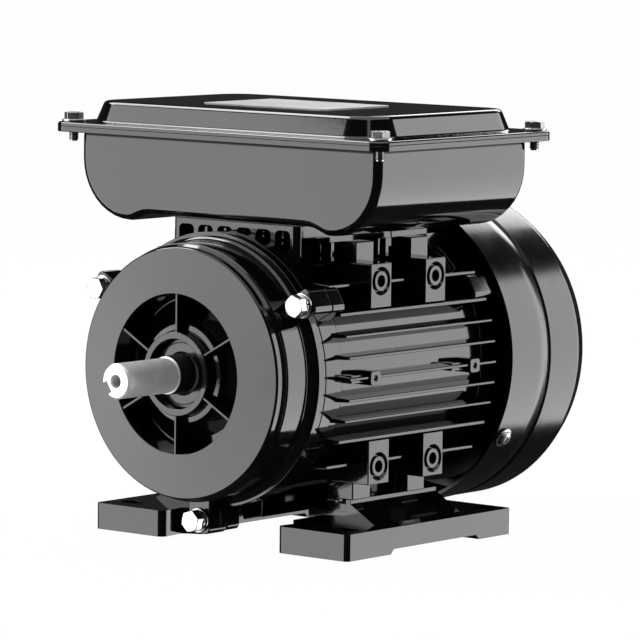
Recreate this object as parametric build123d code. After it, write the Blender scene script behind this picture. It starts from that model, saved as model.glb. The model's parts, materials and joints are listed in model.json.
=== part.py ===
"""Single-phase electric motor, frame size 71, foot mounted, with a large terminal box on top.

Frame: +Z up, the shaft points along -Y, +X is the side with the fins on view.
Z = 0 is the plane that the feet stand on and the origin is the centre of the four foot holes.
"""
from build123d import *
import os
from math import atan2, cos, degrees, radians, sin, sqrt

# Mounting sizes of the frame
shaft_height = 71.0
foot_hole_span_x = 112.0
foot_hole_span_y = 90.0
shoulder_to_foot_hole = 45.0
shaft_diameter = 14.0
shaft_extension = 30.0
key_width = 5.0
key_depth = 3.0
key_length = 22.0
key_angle = 212.0
centre_hole_radius = 2.1
centre_hole_depth = 13.0
foot_slot_width = 7.0
foot_slot_length = 10.0

# Clearances
fit_gap = 0.02
running_gap = 0.05
bolt_clearance = 0.3
seat_gap = 0.2

shoulder_y = -foot_hole_span_y / 2 - shoulder_to_foot_hole
shaft_end_y = shoulder_y - shaft_extension
shaft_radius = shaft_diameter / 2

# Housing
bore_radius = 50.0
housing_wall = 4.0
housing_front_y = -57.0
housing_rear_y = 49.0
front_ring_radius = 55.1
front_ring_length = 5.1
rear_ring_radius = 55.3
rear_ring_length = 6.6
fin_tip_radius = 61.7
fin_pitch = 8.4
fin_thickness = 1.6
fin_rear_margin = 4.7
fins_each_way = 3
outer_fin_offset = 35.8
barrel_radius = bore_radius + housing_wall
barrel_overlap = 10.0

# Square pads on the sides and below, where feet can be fastened
pad_reach = 56.0
pad_offset = 36.9
pad_height = 17.7
pad_drop = 1.65
pad_width = 13.2
pad_pitch = 35.0
pad_front_y = -25.0
pad_hole_radius = 2.5
pad_hole_depth = 12.0
pad_ring_inner_radius = 3.8
pad_ring_outer_radius = 5.4
pad_ring_depth = 0.8
step_reach = 47.5
step_height = 6.9
step_width = 11.4

# Small square bosses on the middle fin
rivet_boss_width = 6.8
rivet_boss_height = 5.7
rivet_boss_reach = 62.4
rivet_boss_front_y = -35.6
rivet_boss_rear_y = 29.2
rivet_hole_radius = 0.6
rivet_hole_depth = 3.0

# Neck under the terminal box
neck_half_width = 32.5
neck_front_y = -49.3
neck_top_z = 129.6
neck_plate = 3.5
neck_web_pitch = 10.0
neck_web = 3.0
neck_skirt = 3.0
neck_skirt_height = 8.7
neck_post = 5.4
neck_post_bottom_z = 110.0
duct_outer_x = 26.0
duct_outer_y = 22.0
duct_wall = 3.5
duct_centre_y = -22.0

# Bolts of the two end shields
bolt_circle_front = 59.7
bolt_circle_rear = 57.0
bolt_angles = (30.0, 150.0, 270.0)
bolt_radius = 2.5
bolt_head_across = 8.0
bolt_head_height = 3.5
bolt_length = 24.0
washer_radius = 5.0
washer_thickness = 1.0
spring_washer_radius = 4.4
spring_washer_thickness = 1.2
lug_half_width = 5.4
housing_lug_length = 12.0

# Front end shield
face_outer_radius = 49.2
face_outer_y = -82.0
face_inner_radius = 31.84
face_inner_y = -84.75
shield_body_radius = 51.5
shield_wall = 4.0
shield_flange_radius = 55.1
shield_flange = 5.3
shield_cove_radius = 53.9
shield_cove = 3.6
spigot_length = 5.0
spigot_wall = 3.5
front_lug_y = -69.0
pocket_floor_y = -72.0
pocket_floor = 2.5
nose_outer_radius = 16.7
nose_y = -84.6
hub_step_radius = 20.0
hub_step_y = -80.3
hub_radius = 22.0
rib_count = 6
rib_thickness = 2.0
rib_setback = 0.4

# Bearings, 15 x 35 x 11, and the front shaft seal
bearing_bore_radius = 7.5
bearing_radius = 17.5
bearing_width = 11.0
ball_circle = 12.5
ball_radius = 2.95
ball_count = 8
race_gap = 0.05
outer_race_radius = 15.0
inner_race_radius = 10.1
ball_cage_thickness = 0.8
ball_cage_width = 5.0
bearing_shield_thickness = 0.4
bearing_shield_inset = 0.3
bearing_shield_bore = 10.6
front_bearing_y = -72.0
rear_bearing_y = 56.6
seal_radius = 14.0
seal_width = 7.0
seal_front_y = -80.4
seal_lip_gap = 0.1
wave_washer_space = 1.2
wave_washer_inner_radius = 13.5

# Stator and rotor
stack_front_y = -32.0
stack_rear_y = 23.0
air_gap_radius = 31.0
air_gap = 0.35
slot_count = 24
slot_width = 3.6
slot_mouth = 1.8
slot_inner_radius = 31.8
slot_outer_radius = 43.0
main_inner_radius = 36.4
main_outer_radius = 42.6
main_ring_radius = 44.8
aux_inner_radius = 32.4
aux_outer_radius = 35.6
winding_slot_clearance = 0.2
winding_overhang = 18.0
aux_overhang = 13.0
winding_end_gap = 1.5
rotor_shaft_radius = 10.0
rotor_bar_count = 20
rotor_bar_radius = 1.9
rotor_bar_circle = 26.8
end_ring_inner_radius = 20.0
end_ring_outer_radius = 30.0
end_ring_width = 8.0

# Centrifugal switch between the rotor and the rear bearing
carrier_front_y = 33.0
carrier_plate = 1.6
carrier_hub_radius = 14.0
carrier_hub_length = 5.0
carrier_radius = 24.0
weight_pivot_radius = 19.0
weight_pivot_y = 46.0
weight_pin_radius = 1.0
weight_half_width = 4.0
weight_inner_radius = 17.6
weight_rear_margin = 1.2
weight_outer_radius = 23.0
weight_front_y = 36.4
weight_finger_radius = 13.5
weight_finger_half_thickness = 0.8
ear_thickness = 1.4
ear_gap = 0.3
sleeve_travel = 1.5
sleeve_wall = 3.0
sleeve_front_y = 40.2
sleeve_disc_radius = 16.8
sleeve_disc = 1.2
sleeve_groove = 3.2
sleeve_collar_radius = 15.6
sleeve_collar = 1.1
switch_plate_inner_radius = 22.5
switch_plate_outer_radius = 31.0
switch_plate = 1.6
switch_plate_y = 54.0
lever_pivot_drop = 26.0
lever_tip_drop = 14.0
lever_thickness = 1.0
lever_half_width = 3.0
lever_disc_gap = 0.3
lever_pin_radius = 0.8

# Rear end shield
rear_wall_y = 57.0
rear_wall = 3.5
rear_rim_radius = 52.0
rear_shoulder_radius = 50.0
rear_flange = 2.5
rear_lug_y = 54.0
rear_hub_radius = 21.5
rear_hub_floor = 2.0
rear_hub_hole_radius = 8.2
cover_boss_width = 9.0
cover_boss_length = 9.0
cover_screw_y = 56.7
cover_screw_angles = (-30.0, 90.0, 210.0)

# Fan and its cover
fan_seat_radius = 6.0
fan_front_y = 74.0
fan_length = 18.0
fan_hub_radius = 11.0
fan_disc_radius = 57.0
fan_disc = 2.0
fan_blade_count = 8
fan_blade_tip = 56.0
fan_blade_root = 10.0
fan_blade = 2.0
fan_blade_length = 22.0
clip_thickness = 1.0
clip_groove_depth = 0.6
clip_reach = 2.0
clip_mouth = 60.0
rear_stub_y = 97.0
cover_wall = 1.3
cover_front_y = 51.2
cover_front_radius = 65.0
cover_step_y = 76.0
cover_step_radius = 64.0
cover_rear_radius = 64.5
cover_shoulder_y = 97.0
cover_rear_y = 110.3
cover_face_radius = 53.0
grille_slot = 3.4
grille_pitch = 6.4
grille_first_radius = 12.0
grille_ring_count = 6
grille_arms = 6
grille_arm_width = 5.0
cover_screw_radius = 2.0
cover_screw_head_radius = 3.9
cover_screw_head = 2.4
cover_screw_length = 9.0

# Feet
foot_outer_x = 66.0
foot_inner_x = 29.6
foot_waist_x = 23.6
foot_waist_front_y = -39.0
foot_waist_rear_y = 32.0
foot_front_y = -56.7
foot_rear_y = 50.4
foot_plate = 10.7
foot_corner = 3.0
foot_edge = 0.8
foot_recess_half_length = 27.0
foot_recess = 2.0
saddle_front_y = -33.5
saddle_rear_y = 24.0
saddle_lip_z = 19.4
saddle_lip_inner_x = 45.1
saddle_lip_outer_x = 49.6
saddle_toe_x = 57.0
gusset_thickness = 6.0
gusset_length = 11.0
foot_screw_radius = 3.0
foot_screw_head_radius = 5.0
foot_screw_head = 5.9
foot_screw_head_z = 2.6
foot_screw_length = 18.0

# Terminal box
box_half_width = 77.4
box_front_y = -55.0
box_rear_y = 42.3
box_wall = 2.6
box_lobe_radius = 19.0
box_lobe_fillet = 20.0
box_lobe_drop = 3.9
box_corner = 2.6
box_top_z = 162.2
box_flange_half_width = 85.4
box_flange_front_y = -64.1
box_flange_rear_y = 50.3
box_flange = 2.4
box_flange_corner = 6.5
box_gasket = 0.6
lid_gasket_width = 1.8
lid_gasket_groove = 0.4
lid_flange = 1.6
lid_flange_edge = 1.1
plateau_half_width = 76.6
plateau_front_y = -57.0
plateau_rear_y = 42.0
plateau_corner = 12.0
plateau_height = 8.7
plateau_slope = 3.6
plateau_edge = 2.4
lid_wall = 1.6
lid_screw_side_margin = 6.0
lid_screw_front_margin = 7.2
lid_screw_rear_margin = 6.5
lid_screw_x = box_flange_half_width - lid_screw_side_margin
lid_screw_front_y = box_flange_front_y + lid_screw_front_margin
lid_screw_rear_y = box_flange_rear_y - lid_screw_rear_margin
lid_screw_radius = 2.0
lid_screw_length = 8.0
lid_screw_head_across = 7.0
lid_screw_head = 2.8
lid_screw_flange_radius = 4.8
lid_screw_flange = 1.0
label_width = 62.0
label_length = 44.0
label_thickness = 0.4
label_corner = 2.0
label_centre_y = -11.0
box_screw_x = 24.0
box_screw_front_y = -38.0
box_screw_rear_y = 28.0
box_screw_radius = 2.5
box_screw_head_radius = 4.5
box_screw_head = 3.0
box_screw_length = 11.0

# Inside the terminal box
capacitor_side_margin = 22.4
capacitor_x = box_half_width - capacitor_side_margin
start_capacitor_radius = 15.0
start_capacitor_length = 68.0
run_capacitor_radius = 14.0
run_capacitor_length = 60.0
capacitor_front_y = -42.0
capacitor_floor_gap = 0.2
capacitor_cap = 3.0
tab_width = 6.3
tab_height = 8.0
tab_thickness = 0.8
clamp_width = 12.0
clamp_thickness = 1.0
clamp_foot_x = 12.0
clamp_y = -12.0
block_width = 38.0
block_length = 34.0
block_height = 12.0
block_centre_y = 8.0
stud_pitch_x = 14.0
stud_pitch_y = 15.0
stud_radius = 2.0
stud_height = 9.0
nut_across = 7.0
nut_height = 3.2
link_width = 7.0
link_thickness = 0.8
gland_x = -26.0
gland_z = 149.0
gland_thread_radius = 10.0
gland_hex_across = 24.0
gland_hex = 5.0
gland_dome_radius = 11.0
gland_dome = 12.0
gland_cable_radius = 5.0
gland_nut = 4.5
gland_inside = 8.0


def block(x0, x1, y0, y1, z0, z1):
    """A square-edged solid between two corners."""
    return Pos((x0 + x1) / 2, (y0 + y1) / 2, (z0 + z1) / 2) * Box(x1 - x0, y1 - y0, z1 - z0)


def turned(*points):
    """A solid turned about the shaft axis from (radius, y) points."""
    return Pos(0, 0, shaft_height) * revolve(make_face(Polyline(*points, close=True)), Axis.Y)


def tube(outer, inner, y0, y1):
    """A plain ring about the shaft axis."""
    return turned((inner, y0), (outer, y0), (outer, y1), (inner, y1))


def rod_x(y, z, radius, x0, x1):
    """A round bar along X."""
    return Pos((x0 + x1) / 2, y, z) * Rot(0, 90, 0) * Cylinder(radius, x1 - x0)


def rod_y(x, z, radius, y0, y1):
    """A round bar along Y."""
    return Pos(x, (y0 + y1) / 2, z) * Rot(90, 0, 0) * Cylinder(radius, y1 - y0)


def rod_z(x, y, radius, z0, z1):
    """A round bar along Z."""
    return Pos(x, y, (z0 + z1) / 2) * Cylinder(radius, z1 - z0)


def along_y(outline, y0, y1):
    """An (x, z) outline carried from y0 to y1."""
    return Pos(0, y1, 0) * Rot(90, 0, 0) * extrude(outline, y1 - y0)


def hexagon_z(x, y, across, z0, z1):
    """A hexagon standing along Z."""
    return Pos(x, y, z0) * extrude(RegularPolygon(across / sqrt(3), 6), z1 - z0)


def along_x(outline, x0, x1):
    """A (y, z) outline carried from x0 to x1."""
    return Pos(x0, 0, 0) * (Plane.YZ * extrude(outline, x1 - x0))


def turn(solid, angle):
    """A solid turned about the shaft axis, anticlockwise as seen from the front."""
    return Pos(0, 0, shaft_height) * Rot(0, -angle, 0) * Pos(0, 0, -shaft_height) * solid


def on_circle(radius, angle):
    """The (x, z) place at a radius and angle about the shaft axis."""
    return radius * cos(radians(angle)), shaft_height + radius * sin(radians(angle))


def rounded_plate(half_width, y0, y1, corner, z0, z1):
    """A flat plate with rounded corners."""
    outline = RectangleRounded(2 * half_width, y1 - y0, corner)
    return Pos(0, (y0 + y1) / 2, z0) * extrude(outline, z1 - z0)


def save(name, *solids):
    """Writes one node as a STEP file."""
    pieces = [s for group in solids for s in group.solids()]
    shape = pieces[0] if len(pieces) == 1 else Compound(children=pieces)
    export_step(shape, f"parts/{name}.step")


def lug(circle, angle, y0, y1):
    """A bolt lug with level or upright flanks and a round end."""
    x, z = on_circle(circle, angle)
    end = rod_y(x, z, lug_half_width, y0, y1)
    if abs(x) < 1:
        root = shaft_height - bore_radius - 1
        return end + block(-lug_half_width, lug_half_width, y0, y1, z, root)
    side = 1 if x > 0 else -1
    inner = side * (bore_radius - 8)
    low, high = sorted((inner, x))
    return end + block(low, high, y0, y1, z - lug_half_width, z + lug_half_width)


def bolt_holes(solid, circle, radius, y0, y1):
    """A solid with the three bolt holes cut through it."""
    for angle in bolt_angles:
        x, z = on_circle(circle, angle)
        solid -= rod_y(x, z, radius, y0, y1)
    return solid


def pad_column(rotation):
    """Two stepped mounting pads, above and below the middle of one side, turned to that side."""
    column = None
    for row in (-1, 1):
        z_near = row * (pad_offset - pad_height / 2 - pad_drop)
        z_far = row * (pad_offset + pad_height / 2 - pad_drop)
        z_step = z_far + row * step_height
        for y in (pad_front_y, pad_front_y + pad_pitch):
            low, high = sorted((z_near, z_far))
            pad = block(barrel_radius * 0.6, pad_reach, y - pad_width / 2, y + pad_width / 2,
                        shaft_height + low, shaft_height + high)
            low, high = sorted((z_far, z_step))
            step = block(barrel_radius * 0.4, step_reach, y - step_width / 2, y + step_width / 2,
                         shaft_height + low - 0.1, shaft_height + high)
            piece = pad + step
            column = piece if column is None else column + piece
    return turn(column - turned((0, housing_front_y), (bore_radius + 1, housing_front_y),
                                (bore_radius + 1, housing_rear_y), (0, housing_rear_y)), rotation)


def pad_places():
    """The (y, z) places of the pad holes on one side."""
    return [(y, shaft_height + row * pad_offset)
            for row in (-1, 1) for y in (pad_front_y, pad_front_y + pad_pitch)]


def pad_hole(y, z, side):
    """The tapped hole and the ring groove of one side pad."""
    x0, x1 = sorted((side * (pad_reach - pad_hole_depth), side * (pad_reach + 1)))
    hole = rod_x(y, z, pad_hole_radius, x0, x1)
    x0, x1 = sorted((side * (pad_reach - pad_ring_depth), side * (pad_reach + 1)))
    groove = rod_x(y, z, pad_ring_outer_radius, x0, x1) - rod_x(y, z, pad_ring_inner_radius, x0, x1)
    return hole + groove


def housing_fins():
    """Level fins on both sides and upright fins below, cut to a round envelope."""
    front = housing_front_y + front_ring_length
    rear = housing_rear_y - fin_rear_margin
    envelope = tube(fin_tip_radius, bore_radius + 1, front, rear)
    offsets = [k * fin_pitch for k in range(-fins_each_way, fins_each_way + 1)]
    plates = None
    for offset in offsets + [-outer_fin_offset, outer_fin_offset]:
        z = shaft_height + offset
        for side in (-1, 1):
            low, high = sorted((side * 30.0, side * fin_tip_radius))
            plate = block(low, high, front, rear, z - fin_thickness / 2, z + fin_thickness / 2)
            plates = plate if plates is None else plates + plate
    for k in (-2, -1, 0, 1, 2):
        x = k * fin_pitch
        plates += block(x - fin_thickness / 2, x + fin_thickness / 2, front, rear,
                        shaft_height - fin_tip_radius, shaft_height - bore_radius + barrel_overlap)
    return plates & envelope


def neck():
    """The seat for the terminal box: a plate on upright webs, with skirts and corner posts."""
    half, rear = neck_half_width, housing_rear_y
    base = shaft_height + bore_radius - barrel_overlap
    under = neck_top_z - neck_plate
    plate = block(-half, half, neck_front_y, rear, under, neck_top_z)
    shape = plate
    for k in range(-3, 4):
        x = k * neck_web_pitch
        shape += block(x - neck_web / 2, x + neck_web / 2, neck_front_y, rear, base, under + 0.1)
    for side in (-1, 1):
        low, high = sorted((side * (half - neck_skirt), side * half))
        shape += block(low, high, neck_front_y, rear, neck_top_z - neck_skirt_height, neck_top_z)
        for y0 in (neck_front_y, rear - neck_post):
            shape += block(low, high, y0, y0 + neck_post, neck_post_bottom_z, neck_top_z)
    duct = block(-duct_outer_x / 2, duct_outer_x / 2, duct_centre_y - duct_outer_y / 2,
                 duct_centre_y + duct_outer_y / 2, base, neck_top_z)
    return shape + duct


def duct_hole(z0, z1):
    """The passage for the winding leads."""
    hx, hy = duct_outer_x / 2 - duct_wall, duct_outer_y / 2 - duct_wall
    return block(-hx, hx, duct_centre_y - hy, duct_centre_y + hy, z0, z1)


def box_screw_places():
    """Where the terminal box is screwed to the neck."""
    return [(side * box_screw_x, y) for side in (-1, 1) for y in (box_screw_front_y, box_screw_rear_y)]


def stator_housing():
    shell = turned((0, housing_front_y), (front_ring_radius, housing_front_y),
                   (front_ring_radius, housing_front_y + front_ring_length),
                   (barrel_radius, housing_front_y + front_ring_length),
                   (barrel_radius, housing_rear_y - rear_ring_length),
                   (rear_ring_radius, housing_rear_y - rear_ring_length),
                   (rear_ring_radius, housing_rear_y), (0, housing_rear_y))
    shape = shell + housing_fins() + neck()
    for rotation in (0, 180, 270):
        shape += pad_column(rotation)
    for angle in bolt_angles:
        shape += lug(bolt_circle_front, angle, housing_front_y, housing_front_y + housing_lug_length)
        shape += lug(bolt_circle_rear, angle, housing_rear_y - housing_lug_length, housing_rear_y)
    for side in (-1, 1):
        for y in (rivet_boss_front_y, rivet_boss_rear_y):
            low, high = sorted((side * bore_radius, side * rivet_boss_reach))
            shape += block(low, high, y - rivet_boss_width / 2, y + rivet_boss_width / 2,
                           shaft_height - rivet_boss_height / 2, shaft_height + rivet_boss_height / 2)
    shape -= turned((0, housing_front_y - 1), (bore_radius, housing_front_y - 1),
                    (bore_radius, housing_rear_y + 1), (0, housing_rear_y + 1))
    shape -= duct_hole(shaft_height, neck_top_z + 1)
    front_depth = housing_front_y + housing_lug_length - 1
    shape = bolt_holes(shape, bolt_circle_front, bolt_radius + fit_gap, housing_front_y - 1, front_depth)
    rear_depth = housing_rear_y - housing_lug_length + 1
    shape = bolt_holes(shape, bolt_circle_rear, bolt_radius + fit_gap, rear_depth, housing_rear_y + 1)
    for side in (-1, 1):
        for y, z in pad_places():
            shape -= pad_hole(y, z, side)
        for y in (rivet_boss_front_y, rivet_boss_rear_y):
            bottom = rivet_boss_reach - rivet_hole_depth
            low, high = sorted((side * bottom, side * (rivet_boss_reach + 1)))
            shape -= rod_x(y, shaft_height, rivet_hole_radius, low, high)
        for y in (pad_front_y, pad_front_y + pad_pitch):
            depth = foot_screw_head_z + foot_screw_head + foot_screw_length + 0.5
            shape -= rod_z(side * pad_offset, y, foot_screw_radius + fit_gap,
                           shaft_height - pad_reach - 1, depth)
    for x, y in box_screw_places():
        shape -= rod_z(x, y, box_screw_radius + fit_gap, neck_top_z - box_screw_length, neck_top_z + 1)
    return shape


def front_endshield():
    back = pocket_floor_y + pocket_floor
    inner = shield_body_radius - shield_wall
    spigot = bore_radius - fit_gap
    seat_end = front_bearing_y + bearing_width + 0.4
    cove_y = housing_front_y - shield_flange
    cove_rise = shield_cove_radius - shield_body_radius
    shape = turned(
        (spigot - spigot_wall, housing_front_y + spigot_length), (spigot, housing_front_y + spigot_length),
        (spigot, housing_front_y), (shield_flange_radius, housing_front_y),
        (shield_flange_radius, housing_front_y - shield_flange),
        (shield_cove_radius, cove_y), (shield_body_radius + cove_rise * 0.45, cove_y - shield_cove * 0.3),
        (shield_body_radius + cove_rise * 0.13, cove_y - shield_cove * 0.65),
        (shield_body_radius, cove_y - shield_cove),
        (shield_body_radius, face_outer_y + 4.8), (shield_body_radius - 0.5, face_outer_y + 4.4),
        (face_outer_radius + 1.0, face_outer_y + 1.4), (face_outer_radius, face_outer_y),
        (face_outer_radius - 1.4, face_outer_y - 0.7), (face_inner_radius, face_inner_y),
        (face_inner_radius - 0.8, pocket_floor_y), (hub_radius + 4, pocket_floor_y - 0.6),
        (hub_step_radius + 1, pocket_floor_y - 4), (hub_step_radius, pocket_floor_y - 4.5),
        (hub_step_radius, hub_step_y), (nose_outer_radius + 0.9, hub_step_y),
        (nose_outer_radius, hub_step_y - 0.5), (nose_outer_radius, nose_y),
        (seal_radius + fit_gap, nose_y), (seal_radius + fit_gap, front_bearing_y - seat_gap),
        (bearing_radius + fit_gap, front_bearing_y - seat_gap), (bearing_radius + fit_gap, seat_end),
        (hub_radius, seat_end), (hub_radius, back), (face_inner_radius + 2.2, back),
        (face_inner_radius + 3.2, face_inner_y + shield_wall), (inner - 1.6, face_outer_y + 2.6),
        (inner, face_outer_y + 4.5), (spigot - spigot_wall, housing_front_y - shield_flange))
    nose = seal_radius + fit_gap + 1
    for k in range(rib_count):
        rib = block(-rib_thickness / 2, rib_thickness / 2, nose_y + rib_setback, back,
                    shaft_height + nose, shaft_height + face_inner_radius)
        rib -= tube(bearing_radius + 1, 0, front_bearing_y - 1, back + 1)
        shape += turn(rib, k * 360 / rib_count)
    for angle in bolt_angles:
        shape += lug(bolt_circle_front, angle, front_lug_y, housing_front_y)
    hollow = turned((hub_radius, front_lug_y - 0.1), (inner - 2, front_lug_y - 0.1),
                    (spigot - spigot_wall, housing_front_y), (spigot - spigot_wall, housing_front_y + 1),
                    (hub_radius, housing_front_y + 1))
    shape -= hollow
    hole = bolt_radius + bolt_clearance
    return bolt_holes(shape, bolt_circle_front, hole, front_lug_y - 1, housing_front_y + 1)


def rear_endshield():
    spigot = bore_radius - fit_gap
    flange_y = housing_rear_y + rear_flange
    floor_y = rear_bearing_y + bearing_width + wave_washer_space
    wall_out = rear_wall_y + rear_wall
    shape = turned(
        (spigot - spigot_wall, housing_rear_y - spigot_length), (spigot, housing_rear_y - spigot_length),
        (spigot, housing_rear_y), (shield_flange_radius, housing_rear_y), (shield_flange_radius, flange_y),
        (rear_rim_radius, flange_y), (rear_shoulder_radius, wall_out), (rear_hub_radius + 1, wall_out),
        (rear_hub_radius, floor_y + rear_hub_floor), (rear_hub_hole_radius, floor_y + rear_hub_floor),
        (rear_hub_hole_radius, floor_y), (bearing_radius + fit_gap, floor_y),
        (bearing_radius + fit_gap, rear_bearing_y - 0.4), (rear_hub_radius, rear_bearing_y - 0.4),
        (rear_hub_radius, rear_wall_y), (spigot - spigot_wall, rear_wall_y))
    for angle in bolt_angles:
        shape += lug(bolt_circle_rear, angle, housing_rear_y, rear_lug_y)
    for angle in cover_screw_angles:
        reach = cover_front_radius - cover_wall - fit_gap
        boss = block(rear_shoulder_radius - 3, reach + 1, cover_screw_y - cover_boss_length / 2,
                     cover_screw_y + cover_boss_length / 2, shaft_height - cover_boss_width / 2,
                     shaft_height + cover_boss_width / 2)
        shape += turn(boss, angle) & tube(reach, rear_hub_radius, housing_rear_y, wall_out + 5)
        hole = rod_x(cover_screw_y, shaft_height, cover_screw_radius + fit_gap,
                     reach - cover_screw_length, reach + 2)
        shape -= turn(hole, angle)
    shape -= tube(spigot - spigot_wall, rear_hub_radius, housing_rear_y - 6, rear_wall_y)
    for x, z in switch_post_places():
        shape += rod_y(x, z, 3.0, switch_plate_y, rear_wall_y + 0.1)
    hole = bolt_radius + bolt_clearance
    return bolt_holes(shape, bolt_circle_rear, hole, housing_rear_y - 1, rear_lug_y + 1)


def shaft():
    rear_journal = rear_bearing_y + bearing_width + wave_washer_space + 0.7
    shape = turned((0, shaft_end_y), (shaft_radius - 1, shaft_end_y), (shaft_radius, shaft_end_y + 1),
                   (shaft_radius, shoulder_y), (bearing_bore_radius, shoulder_y),
                   (bearing_bore_radius, front_bearing_y + bearing_width),
                   (rotor_shaft_radius, front_bearing_y + bearing_width),
                   (rotor_shaft_radius, rear_bearing_y), (bearing_bore_radius, rear_bearing_y),
                   (bearing_bore_radius, rear_journal), (fan_seat_radius, rear_journal),
                   (fan_seat_radius, rear_stub_y), (0, rear_stub_y))
    keyway = block(shaft_radius - key_depth, shaft_radius + 1, shaft_end_y - 1, shaft_end_y + key_length,
                   shaft_height - key_width / 2, shaft_height + key_width / 2)
    shape -= turn(keyway, key_angle)
    shape -= rod_y(0, shaft_height, centre_hole_radius, shaft_end_y - 1, shaft_end_y + centre_hole_depth)
    mouth = centre_hole_radius + 0.5
    shape -= turned((0, shaft_end_y - 0.1), (mouth, shaft_end_y - 0.1), (0, shaft_end_y + mouth))
    groove_y = fan_front_y + fan_length
    shape -= tube(fan_seat_radius + 1, fan_seat_radius - clip_groove_depth, groove_y,
                  groove_y + clip_thickness + 0.1)
    return shape


def race_groove(y):
    """The round track that the balls run in."""
    track = Pos(ball_circle, y) * Circle(ball_radius + race_gap)
    return Pos(0, 0, shaft_height) * revolve(track, Axis.Y)


def bearing_outer(y0):
    y1 = y0 + bearing_width
    shape = tube(bearing_radius, outer_race_radius, y0, y1)
    for y in (y0 + bearing_shield_inset, y1 - bearing_shield_inset - bearing_shield_thickness):
        shape += tube(outer_race_radius + 0.5, bearing_shield_bore, y, y + bearing_shield_thickness)
    return shape - race_groove((y0 + y1) / 2)


def bearing_inner(y0):
    y1 = y0 + bearing_width
    return tube(inner_race_radius, bearing_bore_radius + fit_gap / 4, y0, y1) - race_groove((y0 + y1) / 2)


def ball_set(y0):
    """The balls and the cage that spaces them."""
    y = y0 + bearing_width / 2
    cage = tube(ball_circle + ball_cage_thickness / 2, ball_circle - ball_cage_thickness / 2,
                y - ball_cage_width / 2, y + ball_cage_width / 2)
    balls = []
    for k in range(ball_count):
        x, z = on_circle(ball_circle, k * 360 / ball_count)
        cage -= Pos(x, y, z) * Sphere(ball_radius + race_gap)
        balls.append(Pos(x, y, z) * Sphere(ball_radius))
    return [cage] + balls


def shaft_seal():
    lip = bearing_bore_radius + seal_lip_gap
    rear = seal_front_y + seal_width
    return turned((seal_radius, seal_front_y), (seal_radius, rear), (seal_radius - 1, rear),
                  (seal_radius - 1, seal_front_y + 1.4), (lip + 3, seal_front_y + 1.8),
                  (lip + 2.4, rear - 1), (lip, rear - 2), (lip, seal_front_y + 1.2),
                  (lip + 1.6, seal_front_y + 0.5), (seal_radius - 1.5, seal_front_y + 0.3),
                  (seal_radius - 1, seal_front_y))


def wave_washer():
    """The preload ring behind the rear bearing, at its fitted height."""
    y0 = rear_bearing_y + bearing_width
    return tube(bearing_radius - 0.3, wave_washer_inner_radius, y0, y0 + wave_washer_space)


def slot_cut(inner, outer, width, y0, y1):
    """One radial bar-shaped space above the axis."""
    return block(-width / 2, width / 2, y0, y1, shaft_height + inner, shaft_height + outer)


def stator_core():
    shape = tube(bore_radius - fit_gap, air_gap_radius, stack_front_y, stack_rear_y)
    slot = slot_cut(slot_inner_radius, slot_outer_radius, slot_width, stack_front_y - 1, stack_rear_y + 1)
    slot += slot_cut(air_gap_radius - 1, slot_inner_radius + 0.1, slot_mouth,
                     stack_front_y - 1, stack_rear_y + 1)
    for k in range(slot_count):
        shape -= turn(slot, k * 360 / slot_count)
    return shape


def winding(inner, outer, ring_outer, overhang):
    """Coil sides in every slot, joined by a ring of end turns at each end."""
    front, rear = stack_front_y - winding_end_gap, stack_rear_y + winding_end_gap
    shape = tube(ring_outer, inner, front - overhang, front)
    shape += tube(ring_outer, inner, rear, rear + overhang)
    width = slot_width - 2 * winding_slot_clearance
    side = slot_cut(inner + 0.1, outer, width, front - 1, rear + 1)
    for k in range(slot_count):
        shape += turn(side, k * 360 / slot_count)
    return shape


def rotor_core():
    shape = tube(air_gap_radius - air_gap, rotor_shaft_radius, stack_front_y, stack_rear_y)
    for k in range(rotor_bar_count):
        x, z = on_circle(rotor_bar_circle, k * 360 / rotor_bar_count)
        shape -= rod_y(x, z, rotor_bar_radius, stack_front_y - 1, stack_rear_y + 1)
    return shape


def rotor_cage():
    outer, inner = end_ring_outer_radius, end_ring_inner_radius
    shape = tube(outer, inner, stack_front_y - end_ring_width, stack_front_y)
    shape += tube(outer, inner, stack_rear_y, stack_rear_y + end_ring_width)
    for k in range(rotor_bar_count):
        x, z = on_circle(rotor_bar_circle, k * 360 / rotor_bar_count)
        shape += rod_y(x, z, rotor_bar_radius - fit_gap, stack_front_y - 1, stack_rear_y + 1)
    return shape


def ear_faces():
    """The inner and outer distance of the carrier's ears from the middle of a weight."""
    inner = weight_half_width + ear_gap
    return inner, inner + ear_thickness


def switch_carrier():
    front = carrier_front_y
    shape = tube(carrier_hub_radius, rotor_shaft_radius, front, front + carrier_hub_length)
    shape += tube(carrier_radius, rotor_shaft_radius, front, front + carrier_plate)
    inner, outer = ear_faces()
    for side in (-1, 1):
        for flank in (-1, 1):
            low, high = sorted((flank * inner, flank * outer))
            x0, x1 = sorted((side * (weight_pivot_radius - 2.4), side * (weight_pivot_radius + 2.4)))
            shape += block(x0, x1, front, weight_pivot_y + 2.4, shaft_height + low, shaft_height + high)
        shape -= rod_z(side * weight_pivot_radius, weight_pivot_y, weight_pin_radius + running_gap,
                       shaft_height - outer - 1, shaft_height + outer + 1)
    return shape


def switch_weight(side):
    """A flyweight with its pin and the finger that shifts the sleeve."""
    x0, x1 = sorted((side * weight_inner_radius, side * weight_outer_radius))
    low, high = shaft_height - weight_half_width, shaft_height + weight_half_width
    shape = block(x0, x1, weight_front_y, weight_pivot_y + weight_rear_margin, low, high)
    x0, x1 = sorted((side * weight_finger_radius, side * weight_pivot_radius))
    shape += block(x0, x1, weight_pivot_y - weight_finger_half_thickness,
                   weight_pivot_y + weight_finger_half_thickness, low + 1.5, high - 1.5)
    outer = ear_faces()[1]
    shape += rod_z(side * weight_pivot_radius, weight_pivot_y, weight_pin_radius,
                   shaft_height - outer, shaft_height + outer)
    return shape


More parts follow.
